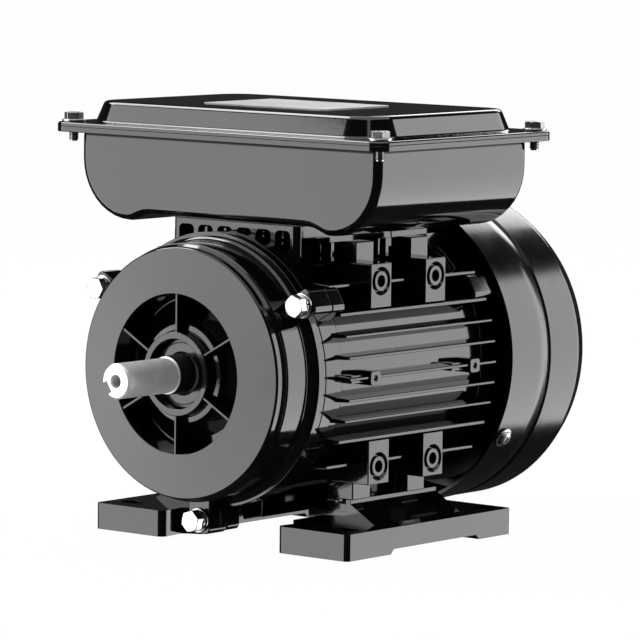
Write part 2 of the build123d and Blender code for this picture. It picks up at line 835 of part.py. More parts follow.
def switch_sleeve():
    inner = rotor_shaft_radius + running_gap
    outer = inner + sleeve_wall
    groove_front = weight_pivot_y - sleeve_groove / 2
    groove_rear = weight_pivot_y + sleeve_groove / 2
    disc_y = switch_disc_y()
    collar, disc = sleeve_collar_radius, sleeve_disc_radius
    return turned((inner, sleeve_front_y), (outer, sleeve_front_y), (outer, groove_front - sleeve_collar),
                  (collar, groove_front - sleeve_collar), (collar, groove_front), (outer, groove_front),
                  (outer, groove_rear), (collar, groove_rear), (disc, disc_y - sleeve_disc),
                  (disc, disc_y), (inner, disc_y))


def switch_disc_y():
    """The rear face of the sleeve's disc."""
    return weight_pivot_y + sleeve_groove / 2 + sleeve_collar + sleeve_disc


def lever_places():
    """The y of the lever's front face and the height of its pivot."""
    return switch_disc_y() + lever_disc_gap, shaft_height - lever_pivot_drop


def switch_post_places():
    """Where the contact plate is fastened to the rear end shield."""
    return [on_circle(switch_plate_outer_radius - 4, angle) for angle in (30.0, 150.0)]


def switch_contact_plate():
    """The fixed plate with two ears for the contact lever."""
    y0, y1 = switch_plate_y - switch_plate, switch_plate_y
    shape = tube(switch_plate_outer_radius, switch_plate_inner_radius, y0, y1)
    lever_y, pivot_z = lever_places()
    window = block(-lever_half_width - 0.4, lever_half_width + 0.4, y0 - 1, y1 + 1,
                   pivot_z - 2.5, shaft_height - switch_plate_inner_radius + 2)
    shape -= window
    for side in (-1, 1):
        low, high = sorted((side * (lever_half_width + 0.4), side * (lever_half_width + 1.8)))
        shape += block(low, high, lever_y - 1.4, y1, pivot_z - 2.2, pivot_z + 2.2)
    pin_y = lever_y + lever_thickness / 2
    reach = lever_half_width + 3
    shape -= rod_x(pin_y, pivot_z, lever_pin_radius + running_gap, -reach, reach)
    return shape


def contact_lever():
    lever_y, pivot_z = lever_places()
    pin_y = lever_y + lever_thickness / 2
    shape = block(-lever_half_width, lever_half_width, lever_y, lever_y + lever_thickness,
                  pivot_z - 1.2, shaft_height - lever_tip_drop)
    shape += rod_x(pin_y, pivot_z, lever_pin_radius, -lever_half_width - 1.8, lever_half_width + 1.8)
    return shape


def front_bolt(angle):
    """One front bolt with its spring washer and flat washer, as three solids."""
    x, z = on_circle(bolt_circle_front, angle)
    flat_y = front_lug_y - washer_thickness
    spring_y = flat_y - spring_washer_thickness
    head = Pos(x, spring_y, z) * Rot(90, 0, 0) * extrude(
        RegularPolygon(bolt_head_across / sqrt(3), 6), bolt_head_height)
    shank = rod_y(x, z, bolt_radius, spring_y, spring_y + bolt_length)
    hole = bolt_radius + bolt_clearance
    bore = rod_y(x, z, hole, spring_y - 1, front_lug_y + 1)
    flat = rod_y(x, z, washer_radius, flat_y, front_lug_y) - bore
    spring = rod_y(x, z, spring_washer_radius, spring_y, flat_y) - bore
    return [head + shank, flat, spring]


def rear_bolt(angle):
    """One rear bolt with its spring washer."""
    x, z = on_circle(bolt_circle_rear, angle)
    spring_y = rear_lug_y + spring_washer_thickness
    head = Pos(x, spring_y, z) * Rot(-90, 0, 0) * extrude(
        RegularPolygon(bolt_head_across / sqrt(3), 6), bolt_head_height)
    shank = rod_y(x, z, bolt_radius, spring_y - bolt_length + 8, spring_y)
    hole = bolt_radius + bolt_clearance
    spring = rod_y(x, z, spring_washer_radius, rear_lug_y, spring_y)
    spring -= rod_y(x, z, hole, rear_lug_y - 1, spring_y + 1)
    return [head + shank, spring]


def fan():
    y0 = fan_front_y
    shape = tube(fan_hub_radius, fan_seat_radius + fit_gap / 4, y0, y0 + fan_length)
    shape += tube(fan_disc_radius, fan_hub_radius - 1, y0, y0 + fan_disc)
    blade = block(-fan_blade / 2, fan_blade / 2, y0, y0 + fan_blade_length,
                  shaft_height + fan_blade_root, shaft_height + fan_blade_tip)
    for k in range(fan_blade_count):
        shape += turn(blade, k * 360 / fan_blade_count)
    return shape


def fan_clip():
    y0 = fan_front_y + fan_length
    inner = fan_seat_radius - clip_groove_depth
    shape = tube(inner + clip_reach, inner, y0, y0 + clip_thickness)
    reach = fan_seat_radius + clip_reach + 2
    x = reach * sin(radians(clip_mouth / 2))
    z = reach * cos(radians(clip_mouth / 2))
    wedge = make_face(Polyline((0, 0), (x, z), (0, reach * 1.3), (-x, z), close=True))
    return shape - Pos(0, 0, shaft_height) * along_y(wedge, y0 - 1, y0 + clip_thickness + 1)


def fan_cover():
    fall = cover_rear_radius - cover_face_radius
    drop = cover_rear_y - cover_shoulder_y
    shoulder = []
    steps = 5
    for k in range(1, steps):
        angle = radians(90 * k / steps)
        shoulder.append((cover_face_radius + fall * cos(angle), cover_shoulder_y + drop * sin(angle)))
    outline = [(0, cover_front_y), (cover_front_radius, cover_front_y), (cover_front_radius, cover_step_y),
               (cover_step_radius, cover_step_y + 1.4), (cover_rear_radius, cover_step_y + 3.0),
               (cover_rear_radius, cover_shoulder_y)] + shoulder + [
                   (cover_face_radius, cover_rear_y), (0, cover_rear_y)]
    scale_r = (cover_rear_radius - cover_wall) / cover_rear_radius
    inner = [(r * scale_r, y if y < cover_shoulder_y + 1 else y - cover_wall) for r, y in outline]
    inner[0] = (0, cover_front_y - 1)
    inner[1] = (inner[1][0], cover_front_y - 1)
    shape = turned(*outline) - turned(*inner)
    for k in range(grille_ring_count):
        radius = grille_first_radius + k * grille_pitch
        ring = tube(radius + grille_slot / 2, radius - grille_slot / 2, cover_rear_y - 4, cover_rear_y + 1)
        for arm in range(grille_arms):
            bar = block(-grille_arm_width / 2, grille_arm_width / 2, cover_rear_y - 5, cover_rear_y + 2,
                        shaft_height, shaft_height + cover_front_radius)
            ring -= turn(bar, arm * 360 / grille_arms)
        shape -= ring
    for angle in cover_screw_angles:
        hole = rod_x(cover_screw_y, shaft_height, cover_screw_radius + bolt_clearance,
                     cover_front_radius - 4, cover_front_radius + 2)
        shape -= turn(hole, angle)
    return shape


def cover_screw(angle):
    seat = cover_front_radius
    reach = cover_front_radius - cover_wall - fit_gap
    top = seat + cover_screw_head
    shape = rod_x(cover_screw_y, shaft_height, cover_screw_head_radius, seat + 0.05, top)
    tip = reach - cover_screw_length + 0.5
    shape += rod_x(cover_screw_y, shaft_height, cover_screw_radius, tip, seat + 1)
    shape -= rod_x(cover_screw_y, shaft_height, cover_screw_radius * 0.7, top - 1.2, top + 1)
    return turn(shape, angle)


def right_foot():
    pad_face = shaft_height - pad_reach
    outline = make_face(Polyline(
        (foot_inner_x, foot_front_y), (foot_outer_x, foot_front_y), (foot_outer_x, foot_rear_y),
        (foot_inner_x, foot_rear_y), (foot_inner_x, foot_waist_rear_y + 4),
        (foot_waist_x, foot_waist_rear_y), (foot_waist_x, foot_waist_front_y),
        (foot_inner_x, foot_waist_front_y - 4), close=True))
    plate = extrude(outline, foot_plate)
    corners = plate.edges().filter_by(Axis.Z).filter_by(lambda e: abs(e.center().Y) > foot_rear_y - 1)
    plate = fillet(corners, foot_corner)
    plate = fillet(plate.faces().sort_by(Axis.Z)[-1].edges(), foot_edge)
    saddle = along_y(make_face(Polyline(
        (foot_waist_x, foot_plate - 2), (foot_waist_x, pad_face), (saddle_lip_inner_x, pad_face),
        (saddle_lip_inner_x, saddle_lip_z), (saddle_lip_outer_x, saddle_lip_z),
        (saddle_toe_x, foot_plate), (saddle_toe_x, foot_plate - 2), close=True)),
        saddle_front_y, saddle_rear_y)
    shape = plate + saddle
    toe_y = saddle_front_y - gusset_length
    side_outline = make_face(Polyline(
        (saddle_front_y + 1, foot_plate - 1), (saddle_front_y + 1, saddle_lip_z - 1),
        (saddle_front_y, saddle_lip_z - 1), (toe_y, foot_plate), (toe_y, foot_plate - 1), close=True))
    shape += along_x(side_outline, saddle_lip_inner_x, saddle_lip_inner_x + gusset_thickness)
    half, rise = foot_recess_half_length, foot_recess
    recess = make_face(Polyline((-half - rise, -1), (-half - rise, 0), (-half, rise), (half, rise),
                                (half + rise, 0), (half + rise, -1), close=True))
    shape -= along_x(recess, 0, foot_outer_x + 1)
    for y in (-foot_hole_span_y / 2, foot_hole_span_y / 2):
        slot = SlotOverall(foot_slot_length, foot_slot_width)
        shape -= Pos(foot_hole_span_x / 2, y, -1) * extrude(slot, foot_plate + 2)
    head_top = foot_screw_head_z + foot_screw_head
    for y in (pad_front_y, pad_front_y + pad_pitch):
        shape -= rod_z(pad_offset, y, foot_screw_radius + bolt_clearance, 0, pad_face + 1)
        shape -= rod_z(pad_offset, y, foot_screw_head_radius + bolt_clearance, -1, head_top)
    return shape


def foot_screw(side, y):
    head_top = foot_screw_head_z + foot_screw_head
    x = side * pad_offset
    shape = rod_z(x, y, foot_screw_head_radius, foot_screw_head_z, head_top)
    shape += rod_z(x, y, foot_screw_radius, head_top - 0.5, head_top + foot_screw_length)
    return shape - hexagon_z(x, y, 5.0, foot_screw_head_z - 1, foot_screw_head_z + 3)


def lobe_centre():
    """The distance from the middle and the height of the round lobes below the box."""
    drop = box_lobe_radius - box_lobe_drop
    return box_half_width - box_lobe_radius, neck_top_z + box_gasket + drop


def box_outline(inset):
    """The front view of the terminal box, moved inwards by a wall."""
    half = box_half_width - inset
    lobe_x, lobe_z = lobe_centre()
    floor = neck_top_z + box_gasket + inset
    top = box_top_z + box_flange
    shape = Pos(0, (lobe_z + top) / 2) * Rectangle(2 * half, top - lobe_z)
    shape += Pos(0, (floor + lobe_z + 1) / 2) * Rectangle(2 * lobe_x, lobe_z + 1 - floor)
    for side in (-1, 1):
        shape += Pos(side * lobe_x, lobe_z) * Circle(box_lobe_radius - inset)
    shape -= Pos(0, top + 5) * Rectangle(2 * half, 10)
    waist = [v for v in shape.vertices() if abs(v.Y - floor) < 0.01 and abs(v.X) < lobe_x]
    return fillet(waist, box_lobe_fillet + inset)


def terminal_box():
    outer = along_y(box_outline(0), box_front_y, box_rear_y)
    ends = outer.faces().sort_by(Axis.Y)
    rims = [e for face in (ends[0], ends[-1]) for e in face.edges() if e.center().Z < box_top_z]
    outer = fillet(rims, box_corner)
    cavity = along_y(box_outline(box_wall), box_front_y + box_wall, box_rear_y - box_wall)
    rim = rounded_plate(box_flange_half_width, box_flange_front_y, box_flange_rear_y, box_flange_corner,
                        box_top_z, box_top_z + box_flange)
    shape = outer + rim
    shape -= cavity
    shape -= duct_hole(neck_top_z - 1, neck_top_z + 10)
    for x, y in box_screw_places():
        shape -= rod_z(x, y, box_screw_radius + bolt_clearance, neck_top_z - 1, neck_top_z + 10)
    for x, y in lid_screw_places():
        shape -= rod_z(x, y, lid_screw_radius + fit_gap, box_top_z - 1, box_top_z + box_flange + 1)
    return shape - rod_y(gland_x, gland_z, gland_thread_radius + bolt_clearance, box_rear_y - box_wall - 2,
                         box_rear_y + 1)


def lid_screw_places():
    """The four lid screws."""
    return [(side * lid_screw_x, y) for side in (-1, 1) for y in (lid_screw_front_y, lid_screw_rear_y)]


def plateau(inset, z0, height):
    """The raised middle of the lid, with sloping sides."""
    half, y0, y1 = plateau_half_width - inset, plateau_front_y + inset, plateau_rear_y - inset
    outline = RectangleRounded(2 * half, y1 - y0, plateau_corner - inset)
    slope = degrees(atan2(plateau_slope, plateau_height))
    return Pos(0, (y0 + y1) / 2, z0) * extrude(outline, height, taper=slope)


def lid_levels():
    """The underside and the upper side of the lid's flange."""
    under = box_top_z + box_flange
    return under, under + lid_flange


def box_lid():
    under, top = lid_levels()
    flange = rounded_plate(box_flange_half_width, box_flange_front_y, box_flange_rear_y, box_flange_corner,
                           under, top)
    flange = fillet(flange.faces().sort_by(Axis.Z)[-1].edges(), lid_flange_edge)
    raised = plateau(0, top - 0.2, plateau_height + 0.2)
    raised = fillet(raised.faces().sort_by(Axis.Z)[-1].edges(), plateau_edge)
    shape = flange + raised
    shape -= plateau(lid_wall * 1.5, under - 0.1, plateau_height + 0.1)
    shape -= lid_gasket_ring(under, lid_gasket_groove + 0.02)
    for x, y in lid_screw_places():
        shape -= rod_z(x, y, lid_screw_radius + bolt_clearance, under - 1, top + 1)
    return shape


def lid_gasket_ring(z0, height):
    """The sealing strip between the lid and the box, as wide as the box wall."""
    strip, y0, y1 = lid_gasket_width, box_front_y + 0.3, box_rear_y - 0.3
    half, corner = box_half_width - 0.3, box_corner
    outer = rounded_plate(half, y0, y1, corner, z0, z0 + height)
    inner_corner = corner - strip / 2
    return outer - rounded_plate(half - strip, y0 + strip, y1 - strip, inner_corner, z0 - 1, z0 + height + 1)


def lid_screw(x, y):
    top = lid_levels()[1]
    shape = rod_z(x, y, lid_screw_flange_radius, top, top + lid_screw_flange)
    shape += hexagon_z(x, y, lid_screw_head_across, top, top + lid_screw_flange + lid_screw_head)
    return shape + rod_z(x, y, lid_screw_radius, top - lid_screw_length, top + 1)


def label_plate():
    top = lid_levels()[1] + plateau_height
    outline = RectangleRounded(label_width, label_length, label_corner)
    return Pos(0, label_centre_y, top) * extrude(outline, label_thickness)


def box_floor():
    """The level of the box's floor, inside."""
    return neck_top_z + box_gasket + box_wall


def box_seat_gasket():
    plate = block(-neck_half_width, neck_half_width, neck_front_y, box_rear_y - 1, neck_top_z,
                  neck_top_z + box_gasket)
    plate -= duct_hole(neck_top_z - 1, neck_top_z + 2)
    for x, y in box_screw_places():
        plate -= rod_z(x, y, box_screw_radius + bolt_clearance, neck_top_z - 1, neck_top_z + 2)
    return plate


def box_screw(x, y):
    floor = box_floor()
    shape = rod_z(x, y, box_screw_head_radius, floor, floor + box_screw_head)
    shape += rod_z(x, y, box_screw_radius, neck_top_z - box_screw_length + 0.5, floor + 0.5)
    return shape - hexagon_z(x, y, 4.0, floor + 1.2, floor + box_screw_head + 1)


def capacitor(side, radius, length):
    """A round can lying along Y, with a cap and two blade terminals on each of two posts."""
    x = side * capacitor_x
    z = capacitor_level(radius)
    y0, y1 = capacitor_front_y, capacitor_front_y + length
    can = rod_y(x, z, radius, y0, y1)
    can = fillet(can.faces().sort_by(Axis.Y)[0].edges(), 2.0)
    shape = can + rod_y(x, z, radius - 2, y1 - 0.1, y1 + capacitor_cap)
    for offset in (-radius / 2.4, radius / 2.4):
        shape += block(x + offset - tab_thickness / 2, x + offset + tab_thickness / 2, y1,
                       y1 + capacitor_cap + tab_height, z - tab_width / 2, z + tab_width / 2)
    return shape


def capacitor_level(radius):
    """The height of a capacitor's axis when it lies in its lobe of the box."""
    lobe_x, lobe_z = lobe_centre()
    room = box_lobe_radius - box_wall - radius - capacitor_floor_gap
    return lobe_z - sqrt(max(room ** 2 - (capacitor_x - lobe_x) ** 2, 0.0))


def capacitor_clamp(side, radius):
    """A sheet strap over a capacitor, with a foot screwed to the floor."""
    x, z = side * capacitor_x, capacitor_level(radius)
    y0, y1 = clamp_y - clamp_width / 2, clamp_y + clamp_width / 2
    inner = radius + 0.1
    outer = inner + clamp_thickness
    strap = rod_y(x, z, outer, y0, y1) - rod_y(x, z, inner, y0 - 1, y1 + 1)
    floor = box_floor()
    keep = block(x - outer - 1, x + outer + 1, y0 - 1, y1 + 1, floor + clamp_thickness, z + outer + 1)
    toe = x - side * outer
    strap = strap & keep
    rise = z - floor - clamp_thickness
    low, high = sorted((toe - side * clamp_foot_x, x - side * sqrt(inner ** 2 - rise ** 2)))
    foot = block(low, high, y0, y1, floor, floor + clamp_thickness)
    foot -= rod_y(x, z, inner, y0 - 1, y1 + 1)
    return strap + foot


def terminal_block():
    floor = box_floor()
    y0, y1 = block_centre_y - block_length / 2, block_centre_y + block_length / 2
    shape = block(-block_width / 2, block_width / 2, y0, y1, floor, floor + block_height)
    shape = chamfer(shape.edges().filter_by(Axis.Z), 2.0)
    for x, y in stud_places():
        shape -= rod_z(x, y, stud_radius + fit_gap, floor + 3, floor + block_height + 1)
    groove = block(-block_width / 2 - 1, block_width / 2 + 1, block_centre_y - 1.5, block_centre_y + 1.5,
                   floor + block_height - 2.5, floor + block_height + 1)
    return shape - groove


def stud_places():
    """Two rows of three studs."""
    return [(i * stud_pitch_x, block_centre_y + j * stud_pitch_y / 2) for i in (-1, 0, 1) for j in (-1, 1)]


def terminal_studs():
    floor = box_floor()
    top = floor + block_height
    return [rod_z(x, y, stud_radius, floor + 3, top + stud_height) for x, y in stud_places()]


def terminal_nuts():
    top = box_floor() + block_height + link_thickness
    hole = stud_radius + fit_gap
    end = top + nut_height
    return [hexagon_z(x, y, nut_across, top, end) - rod_z(x, y, hole, top - 1, end + 1)
            for x, y in stud_places()]


def terminal_links():
    """Strips that join studs in pairs, and plain lugs on the rest."""
    z0 = box_floor() + block_height
    links = []
    for i in (-1, 0, 1):
        x = i * stud_pitch_x
        half = stud_pitch_y / 2 + link_width / 2
        strip = block(x - link_width / 2, x + link_width / 2, block_centre_y - half, block_centre_y + half,
                      z0, z0 + link_thickness)
        for j in (-1, 1):
            strip -= rod_z(x, block_centre_y + j * stud_pitch_y / 2, stud_radius + 0.1, z0 - 1, z0 + 2)
        links.append(strip)
    return links


def hexagon_y(across, y0, y1):
    """A hexagon about the cable gland's axis, with flats above and below."""
    return along_y(Pos(gland_x, gland_z) * RegularPolygon(across / sqrt(3), 6), y0, y1)


def cable_gland():
    """The body of the cable gland, through the rear wall of the box."""
    wall, inside = box_rear_y, box_rear_y - box_wall
    shape = rod_y(gland_x, gland_z, gland_thread_radius, inside - gland_inside, wall + 0.5)
    shape += hexagon_y(gland_hex_across, wall, wall + gland_hex)
    dome = rod_y(gland_x, gland_z, gland_dome_radius, wall + gland_hex, wall + gland_hex + gland_dome)
    shape += fillet(dome.faces().sort_by(Axis.Y)[-1].edges(), 4.0)
    return shape - rod_y(gland_x, gland_z, gland_cable_radius, inside - 30, wall + 30)


def gland_locknut():
    inside = box_rear_y - box_wall
    nut = hexagon_y(gland_hex_across, inside - gland_nut, inside)
    return nut - rod_y(gland_x, gland_z, gland_thread_radius + fit_gap, inside - gland_nut - 1, inside + 1)


os.makedirs("parts", exist_ok=True)
save("stator_housing", stator_housing())
save("front_endshield", front_endshield())
save("rear_endshield", rear_endshield())
foot = right_foot()
save("right_foot", foot)
save("left_foot", mirror(foot, Plane.YZ))
foot_screws = [foot_screw(side, y) for side in (-1, 1) for y in (pad_front_y, pad_front_y + pad_pitch)]
save("foot_screws", *foot_screws)
save("stator_core", stator_core())
save("main_winding", winding(main_inner_radius, main_outer_radius, main_ring_radius, winding_overhang))
save("auxiliary_winding", winding(aux_inner_radius, aux_outer_radius - 0.1, aux_outer_radius, aux_overhang))
save("rotor_core", rotor_core())
save("rotor_cage", rotor_cage())
save("shaft", shaft())
for place, start_y in (("front", front_bearing_y), ("rear", rear_bearing_y)):
    save(f"{place}_bearing_outer_ring", bearing_outer(start_y))
    save(f"{place}_bearing_inner_ring", bearing_inner(start_y))
    save(f"{place}_bearing_balls", *ball_set(start_y))
save("front_shaft_seal", shaft_seal())
save("wave_washer", wave_washer())
save("switch_carrier", switch_carrier())
save("switch_weight_right", switch_weight(1))
save("switch_weight_left", switch_weight(-1))
save("switch_sleeve", switch_sleeve())
save("switch_contact_plate", switch_contact_plate())
save("switch_contact_lever", contact_lever())
save("front_bolts", *[s for angle in bolt_angles for s in front_bolt(angle)[:1]])
save("front_bolt_washers", *[s for angle in bolt_angles for s in front_bolt(angle)[1:]])
save("rear_bolts", *[s for angle in bolt_angles for s in rear_bolt(angle)[:1]])
save("rear_bolt_washers", *[s for angle in bolt_angles for s in rear_bolt(angle)[1:]])
save("fan", fan())
save("fan_clip", fan_clip())
save("fan_cover", fan_cover())
save("fan_cover_screws", *[cover_screw(angle) for angle in cover_screw_angles])
save("terminal_box", terminal_box())
save("box_seat_gasket", box_seat_gasket())
save("box_screws", *[box_screw(x, y) for x, y in box_screw_places()])
save("box_lid", box_lid())
save("lid_gasket", lid_gasket_ring(lid_levels()[0], lid_gasket_groove))
save("lid_screws", *[lid_screw(x, y) for x, y in lid_screw_places()])
save("label_plate", label_plate())
save("start_capacitor", capacitor(-1, start_capacitor_radius, start_capacitor_length))
save("run_capacitor", capacitor(1, run_capacitor_radius, run_capacitor_length))
save("start_capacitor_clamp", capacitor_clamp(-1, start_capacitor_radius))
save("run_capacitor_clamp", capacitor_clamp(1, run_capacitor_radius))
save("terminal_block", terminal_block())
save("terminal_studs", *terminal_studs())
save("terminal_nuts", *terminal_nuts())
save("terminal_links", *terminal_links())
save("cable_gland", cable_gland())
save("gland_locknut", gland_locknut())
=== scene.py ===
"""Single-phase electric motor in glossy black enamel: the looks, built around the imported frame.

All sizes below are in millimetres in the frame's own axes: the shaft points along -Y.
"""
import json
import math

import bmesh
import bpy
from mathutils import Matrix, Vector


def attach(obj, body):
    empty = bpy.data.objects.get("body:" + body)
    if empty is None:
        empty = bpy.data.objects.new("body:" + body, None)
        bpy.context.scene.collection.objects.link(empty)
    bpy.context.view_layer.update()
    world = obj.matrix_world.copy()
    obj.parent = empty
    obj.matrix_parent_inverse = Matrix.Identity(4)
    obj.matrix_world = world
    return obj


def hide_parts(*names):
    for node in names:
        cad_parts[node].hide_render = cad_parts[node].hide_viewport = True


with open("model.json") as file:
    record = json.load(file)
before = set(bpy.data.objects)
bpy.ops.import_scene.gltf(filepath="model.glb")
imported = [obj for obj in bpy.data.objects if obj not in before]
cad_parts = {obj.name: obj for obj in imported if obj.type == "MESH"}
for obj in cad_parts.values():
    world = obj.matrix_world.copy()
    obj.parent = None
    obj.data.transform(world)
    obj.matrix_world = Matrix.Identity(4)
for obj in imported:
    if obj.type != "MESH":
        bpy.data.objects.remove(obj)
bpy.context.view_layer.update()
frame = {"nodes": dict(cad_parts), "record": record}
nodes = frame["nodes"]
bpy.ops.object.select_all(action="DESELECT")

MM = 0.001
ORIGIN = (0, 0, 0)
ALONG_X, ALONG_Y, ALONG_Z = (1, 0, 0), (0, 1, 0), (0, 0, 1)

# Shaft, bolts and end shields
AXIS_Z = 71.0
SHAFT_POINT = (0, 0, AXIS_Z)
KEY_ANGLE = 212.0  # where the keyway opens, anticlockwise from +X as seen from the front
BOLT_ANGLES = (30.0, 150.0, 270.0)
FRONT_BOLT_CIRCLE = 59.7
FRONT_BOLT_SEAT = -71.2
FRONT_LUG_REACH = 65.1
REAR_LUG_REACH = 62.4
LUG_HALF_WIDTH = 5.4
SHIELD_RIBS = 6

# Housing, its fins, side pads and neck
FIN_TIP = 61.7
FIN_ROOT = 52.0
FIN_PITCH = 8.4
FIN_FRONT, FIN_REAR = -50.9, 44.3
LOWER_FIN_TIP = 61.0
CORNER_FIN_RISE, CORNER_FIN_TIP = 35.8, 50.3
PAD_PLACES = (-24.9, 10.3)
PAD_REACH = 56.0
PAD_HALF_WIDTH = 6.65
PAD_HOLE_RISE = 37.0
RIVET_PLACES = (-35.6, 29.2)
NECK_HALF = 32.5
NECK_TOP = 129.6
NECK_WEB_PITCH = 10.0
NECK_RIB_PLACES = (-33.2, -24.9, -14.5, -4.0, 4.5, 10.3, 24.0)

# Feet
FOOT_TOP = 10.7
FOOT_SCREW_X = 36.9
FOOT_SCREW_PLACES = (-25.0, 10.0)
FOOT_SLOT_PLACES = (-45, 45)

# Terminal box, lid and gland
BOX_FRONT, BOX_REAR = -55.0, 42.3
BOX_WALL = 2.6
RIM_OUTLINE = (-85.4, 85.4, -64.1, 50.3, 6.5)  # x0, x1, y0, y1, corner radius
LID_SCREW_PLACES = [(x, y) for x in (-79.4, 79.4) for y in (-56.9, 43.8)]
LID_SCREW_SEAT = 166.25
GLAND_X, GLAND_Z = -26.0, 149.0

# Fan cover
COVER_SCREW_ANGLES = (-30.0, 90.0, 210.0)
COVER_SCREW_Y = 56.7
COVER_RADIUS = 65.0
GRILLE_SLOTS = 6
FIRST_SLOT, SLOT_PITCH, SLOT_HALF = 12.0, 6.4, 1.7

# Camera, fitted to the photograph: place in metres, turns in degrees
CAMERA_PLACE = (1.22143, -1.50712, 0.28336)
CAMERA_AZIMUTH, CAMERA_ELEVATION, CAMERA_ROLL = 38.91, 5.79, 0.77
CAMERA_LENS, CAMERA_SENSOR = 268.78, 36.0

# Lamps: name, azimuth and elevation in degrees, distance, width and height in metres, radiance
LAMP_TARGET = (0, -0.01, 0.09)
SOFTBOXES = (
    ("front_left_softbox", -40, 3, 1.7, 1.35, 2.0, 3.6),
    ("back_right_softbox", 145, -3, 1.7, 1.3, 2.0, 3.6),
    ("ceiling_softbox", 0, 90, 1.21, 2.0, 2.0, 1.6),
    ("left_high_softbox", -80, 47, 1.6, 0.9, 0.68, 9.0),
    ("back_top_softbox", 200, 28, 1.7, 0.85, 0.55, 5.0))
WORLD_GLOW = 0.03
FLOOR_WHITE_SHARE = 0.985

# The wave texture draws about this many waves per metre at Scale 1
WAVES_AT_SCALE_ONE = 3.1


# Materials

def shade(hex_colour):
    """An sRGB hex colour as the linear colour that a shader takes."""
    parts = [int(hex_colour[i:i + 2], 16) / 255 for i in (1, 3, 5)]
    linear = [p / 12.92 if p <= 0.04045 else ((p + 0.055) / 1.055) ** 2.4 for p in parts]
    return (*linear, 1.0)


def add_node(material, kind, settings, inputs):
    """Adds one shader node with its settings, and its inputs as values or links."""
    made = material.node_tree.nodes.new(kind)
    for name, value in settings.items():
        setattr(made, name, value)
    for name, value in inputs.items():
        if isinstance(value, bpy.types.NodeSocket):
            material.node_tree.links.new(value, made.inputs[name])
        else:
            made.inputs[name].default_value = value
    return made


def new_material(name):
    """A material with its principled shader and a pattern space in the object's own metres."""
    material = bpy.data.materials.new(name)
    material.use_nodes = True
    principled = material.node_tree.nodes["Principled BSDF"]
    space = add_node(material, "ShaderNodeTexCoord", {}, {})
    return material, principled, space.outputs["Object"]


def connect(material, output, target):
    """Links a node's output to an input."""
    material.node_tree.links.new(output, target)


def mottled(material, vector, size_mm, low, high, target):
    """Drives a shader value between low and high with soft noise of the given grain size."""
    noise = add_node(material, "ShaderNodeTexNoise", {}, {
        "Vector": vector, "Scale": 1000 / size_mm, "Detail": 2.0})
    spread = add_node(material, "ShaderNodeMapRange", {}, {
        "Value": noise.outputs["Fac"], "From Min": 0.3, "From Max": 0.7, "To Min": low, "To Max": high})
    connect(material, spread.outputs["Result"], target)


def tinted(material, vector, size_mm, dark, light, target):
    """Lets a colour wander between two shades with soft noise."""
    noise = add_node(material, "ShaderNodeTexNoise", {}, {
        "Vector": vector, "Scale": 1000 / size_mm, "Detail": 3.0})
    ramp = add_node(material, "ShaderNodeValToRGB", {}, {"Fac": noise.outputs["Fac"]})
    ramp.color_ramp.elements[0].position = 0.35
    ramp.color_ramp.elements[0].color = shade(dark)
    ramp.color_ramp.elements[1].position = 0.65
    ramp.color_ramp.elements[1].color = shade(light)
    connect(material, ramp.outputs["Color"], target)


def rippled(material, vector, size_mm, height_mm, target):
    """A shallow bump of soft noise."""
    noise = add_node(material, "ShaderNodeTexNoise", {}, {
        "Vector": vector, "Scale": 1000 / size_mm, "Detail": 2.0})
    bump = add_node(material, "ShaderNodeBump", {}, {
        "Height": noise.outputs["Fac"], "Distance": height_mm * MM, "Strength": 1.0})
    connect(material, bump.outputs["Normal"], target)


def enamel(name, roughness, ripple_mm):
    """Black stoving enamel: sprayed and baked, so it is mirror bright with a faint orange peel."""
    material, principled, space = new_material(name)
    tinted(material, space, 40.0, "#050505", "#090909", principled.inputs["Base Color"])
    mottled(material, space, 9.0, roughness * 0.85, roughness * 1.2, principled.inputs["Roughness"])
    rippled(material, space, 3.0, ripple_mm, principled.inputs["Normal"])
    principled.inputs["IOR"].default_value = 1.55
    return material


def plated(name, dark, light, roughness, grain_mm):
    """Bright plated or bare metal with a slight cloudiness."""
    material, principled, space = new_material(name)
    principled.inputs["Metallic"].default_value = 1.0
    tinted(material, space, grain_mm, dark, light, principled.inputs["Base Color"])
    mottled(material, space, grain_mm, roughness * 0.8, roughness * 1.3, principled.inputs["Roughness"])
    rippled(material, space, 0.6, 0.004, principled.inputs["Normal"])
    return material


def moulded(name, dark, light, roughness, grain_mm):
    """Moulded plastic or rubber with a fine sparked texture."""
    material, principled, space = new_material(name)
    tinted(material, space, grain_mm * 6, dark, light, principled.inputs["Base Color"])
    mottled(material, space, grain_mm * 3, roughness * 0.85, roughness * 1.15,
            principled.inputs["Roughness"])
    rippled(material, space, grain_mm, 0.01, principled.inputs["Normal"])
    return material


def ground_steel(name):
    """Shaft steel, ground between centres: fine rings of scratches round the shaft blur its highlights."""
    material, principled, space = new_material(name)
    principled.inputs["Metallic"].default_value = 0.55
    tinted(material, space, 6.0, "#d3d3d0", "#e2e2df", principled.inputs["Base Color"])
    squeezed = add_node(material, "ShaderNodeMapping", {}, {"Vector": space, "Scale": (0.15, 6.0, 0.15)})
    mottled(material, squeezed.outputs["Vector"], 1.2, 0.3, 0.44, principled.inputs["Roughness"])
    rippled(material, squeezed.outputs["Vector"], 1.0, 0.004, principled.inputs["Normal"])
    return material


